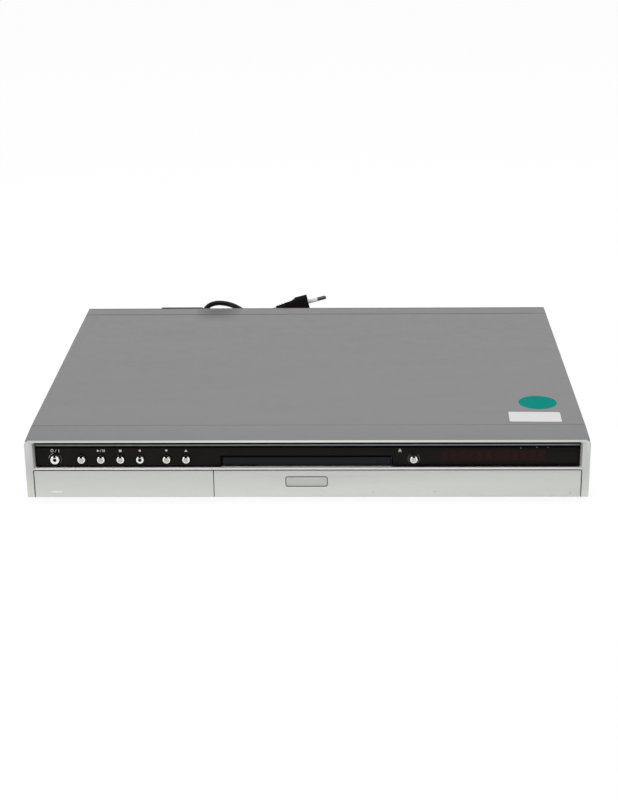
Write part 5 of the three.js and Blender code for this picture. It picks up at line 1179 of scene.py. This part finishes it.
blade = slab("contact", (-0.45, -0.1, -1.3), (0.45, 1.2, 1.3), 0.1, 1)
stud = turned("round_contact", [(0.4, 0), (0.4, 4.2)], sides=12)
places = []
for node in ("scart_socket_one", "scart_socket_two"):
    high, middle = box_of(node)[1:]
    for count, side in ((11, -1), (10, 1)):
        for i in range(count):
            x = middle.x - 0.5 + (i - (count - 1) / 2) * scart_pitch
            places.append(shifted(x, high.y - scart_depth, middle.z + side * scart_row))
contacts = spread(blade, places) + spread(stud, [
    facing(video_x + x, video_floor, front_z + z, "X", 90)
    for x, z in ((-1.6, -1.4), (1.6, -1.4), (-1.9, 1.2), (1.9, 1.2))])
dress(joined("socket_contacts", contacts), screw_brass, "case", "bright_steel")

tuner_x, tuner_z, aerial_tip = 180.0, (24.7, 39.7), 171.4
insulator = [(4.06, -9.6), (4.06, -8.0), (1.6, -8.0), (1.6, -7.2)]
pin, tube = [(1.15, -8.2), (1.15, -2.4), (0.6, -1.6)], [(1.5, -8.2), (1.5, -1.6), (1.15, -1.5), (1.15, -6)]
places = [facing(tuner_x, aerial_tip, z) for z in tuner_z]
insulators = spread(turned("insulator", insulator, sides=32), places)
cores = [turned("core", profile, place, 24) for profile, place in zip((pin, tube), places)]
dress(joined("aerial_insulators", insulators), white_plastic, "case", "white_plastic")
dress(joined("aerial_cores", cores), screw_brass, "case", "bright_steel")

# Fan guard
# Three rings of round wire welded to two crossed bars, with an eye and a screw at each corner.
chrome_wire = coated("chrome_wire", (0.7, 0.7, 0.71), 0.14, 1.0)
fan_x, fan_z, wire_y, wire = -126.7, 32.0, 172.5, 0.5
eye_reach, eye_radius, bar_half, screw_seat = 16.0, 2.2, 20.4, 171.7


def wire_ring(radius, x, z):
    bpy.ops.object.select_all(action="DESELECT")
    bpy.ops.mesh.primitive_torus_add(
        major_radius=radius * mm, minor_radius=wire * mm, major_segments=64, minor_segments=10)
    return recalculated(settle(bpy.context.object, facing(x, wire_y, z)))


wires = [wire_ring(radius, fan_x, fan_z) for radius in (5.6, 11.8, 18.1)]
for lean in (-45, 45):
    bar = turned("bar", [(wire, -bar_half), (wire, bar_half)], sides=16)
    wires.append(settle(bar, facing(fan_x, wire_y, fan_z, "Y", lean)))
corners = [(fan_x + i * eye_reach, fan_z + k * eye_reach) for i in (-1, 1) for k in (-1, 1)]
wires += spread(wire_ring(eye_radius, 0, 0), [shifted(x, 0, z) for x, z in corners])
dress(joined("wire_guard", wires), chrome_wire, "case", "chrome_wire", "fan_guard")
screws = [copied(rear_screw, "fan_screw", shifted(x, screw_seat - rear_face, z)) for x, z in corners]
dress(joined("fan_screws", screws), black_zinc, "case", "black_steel")
bpy.data.objects.remove(rear_screw)

low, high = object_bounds()
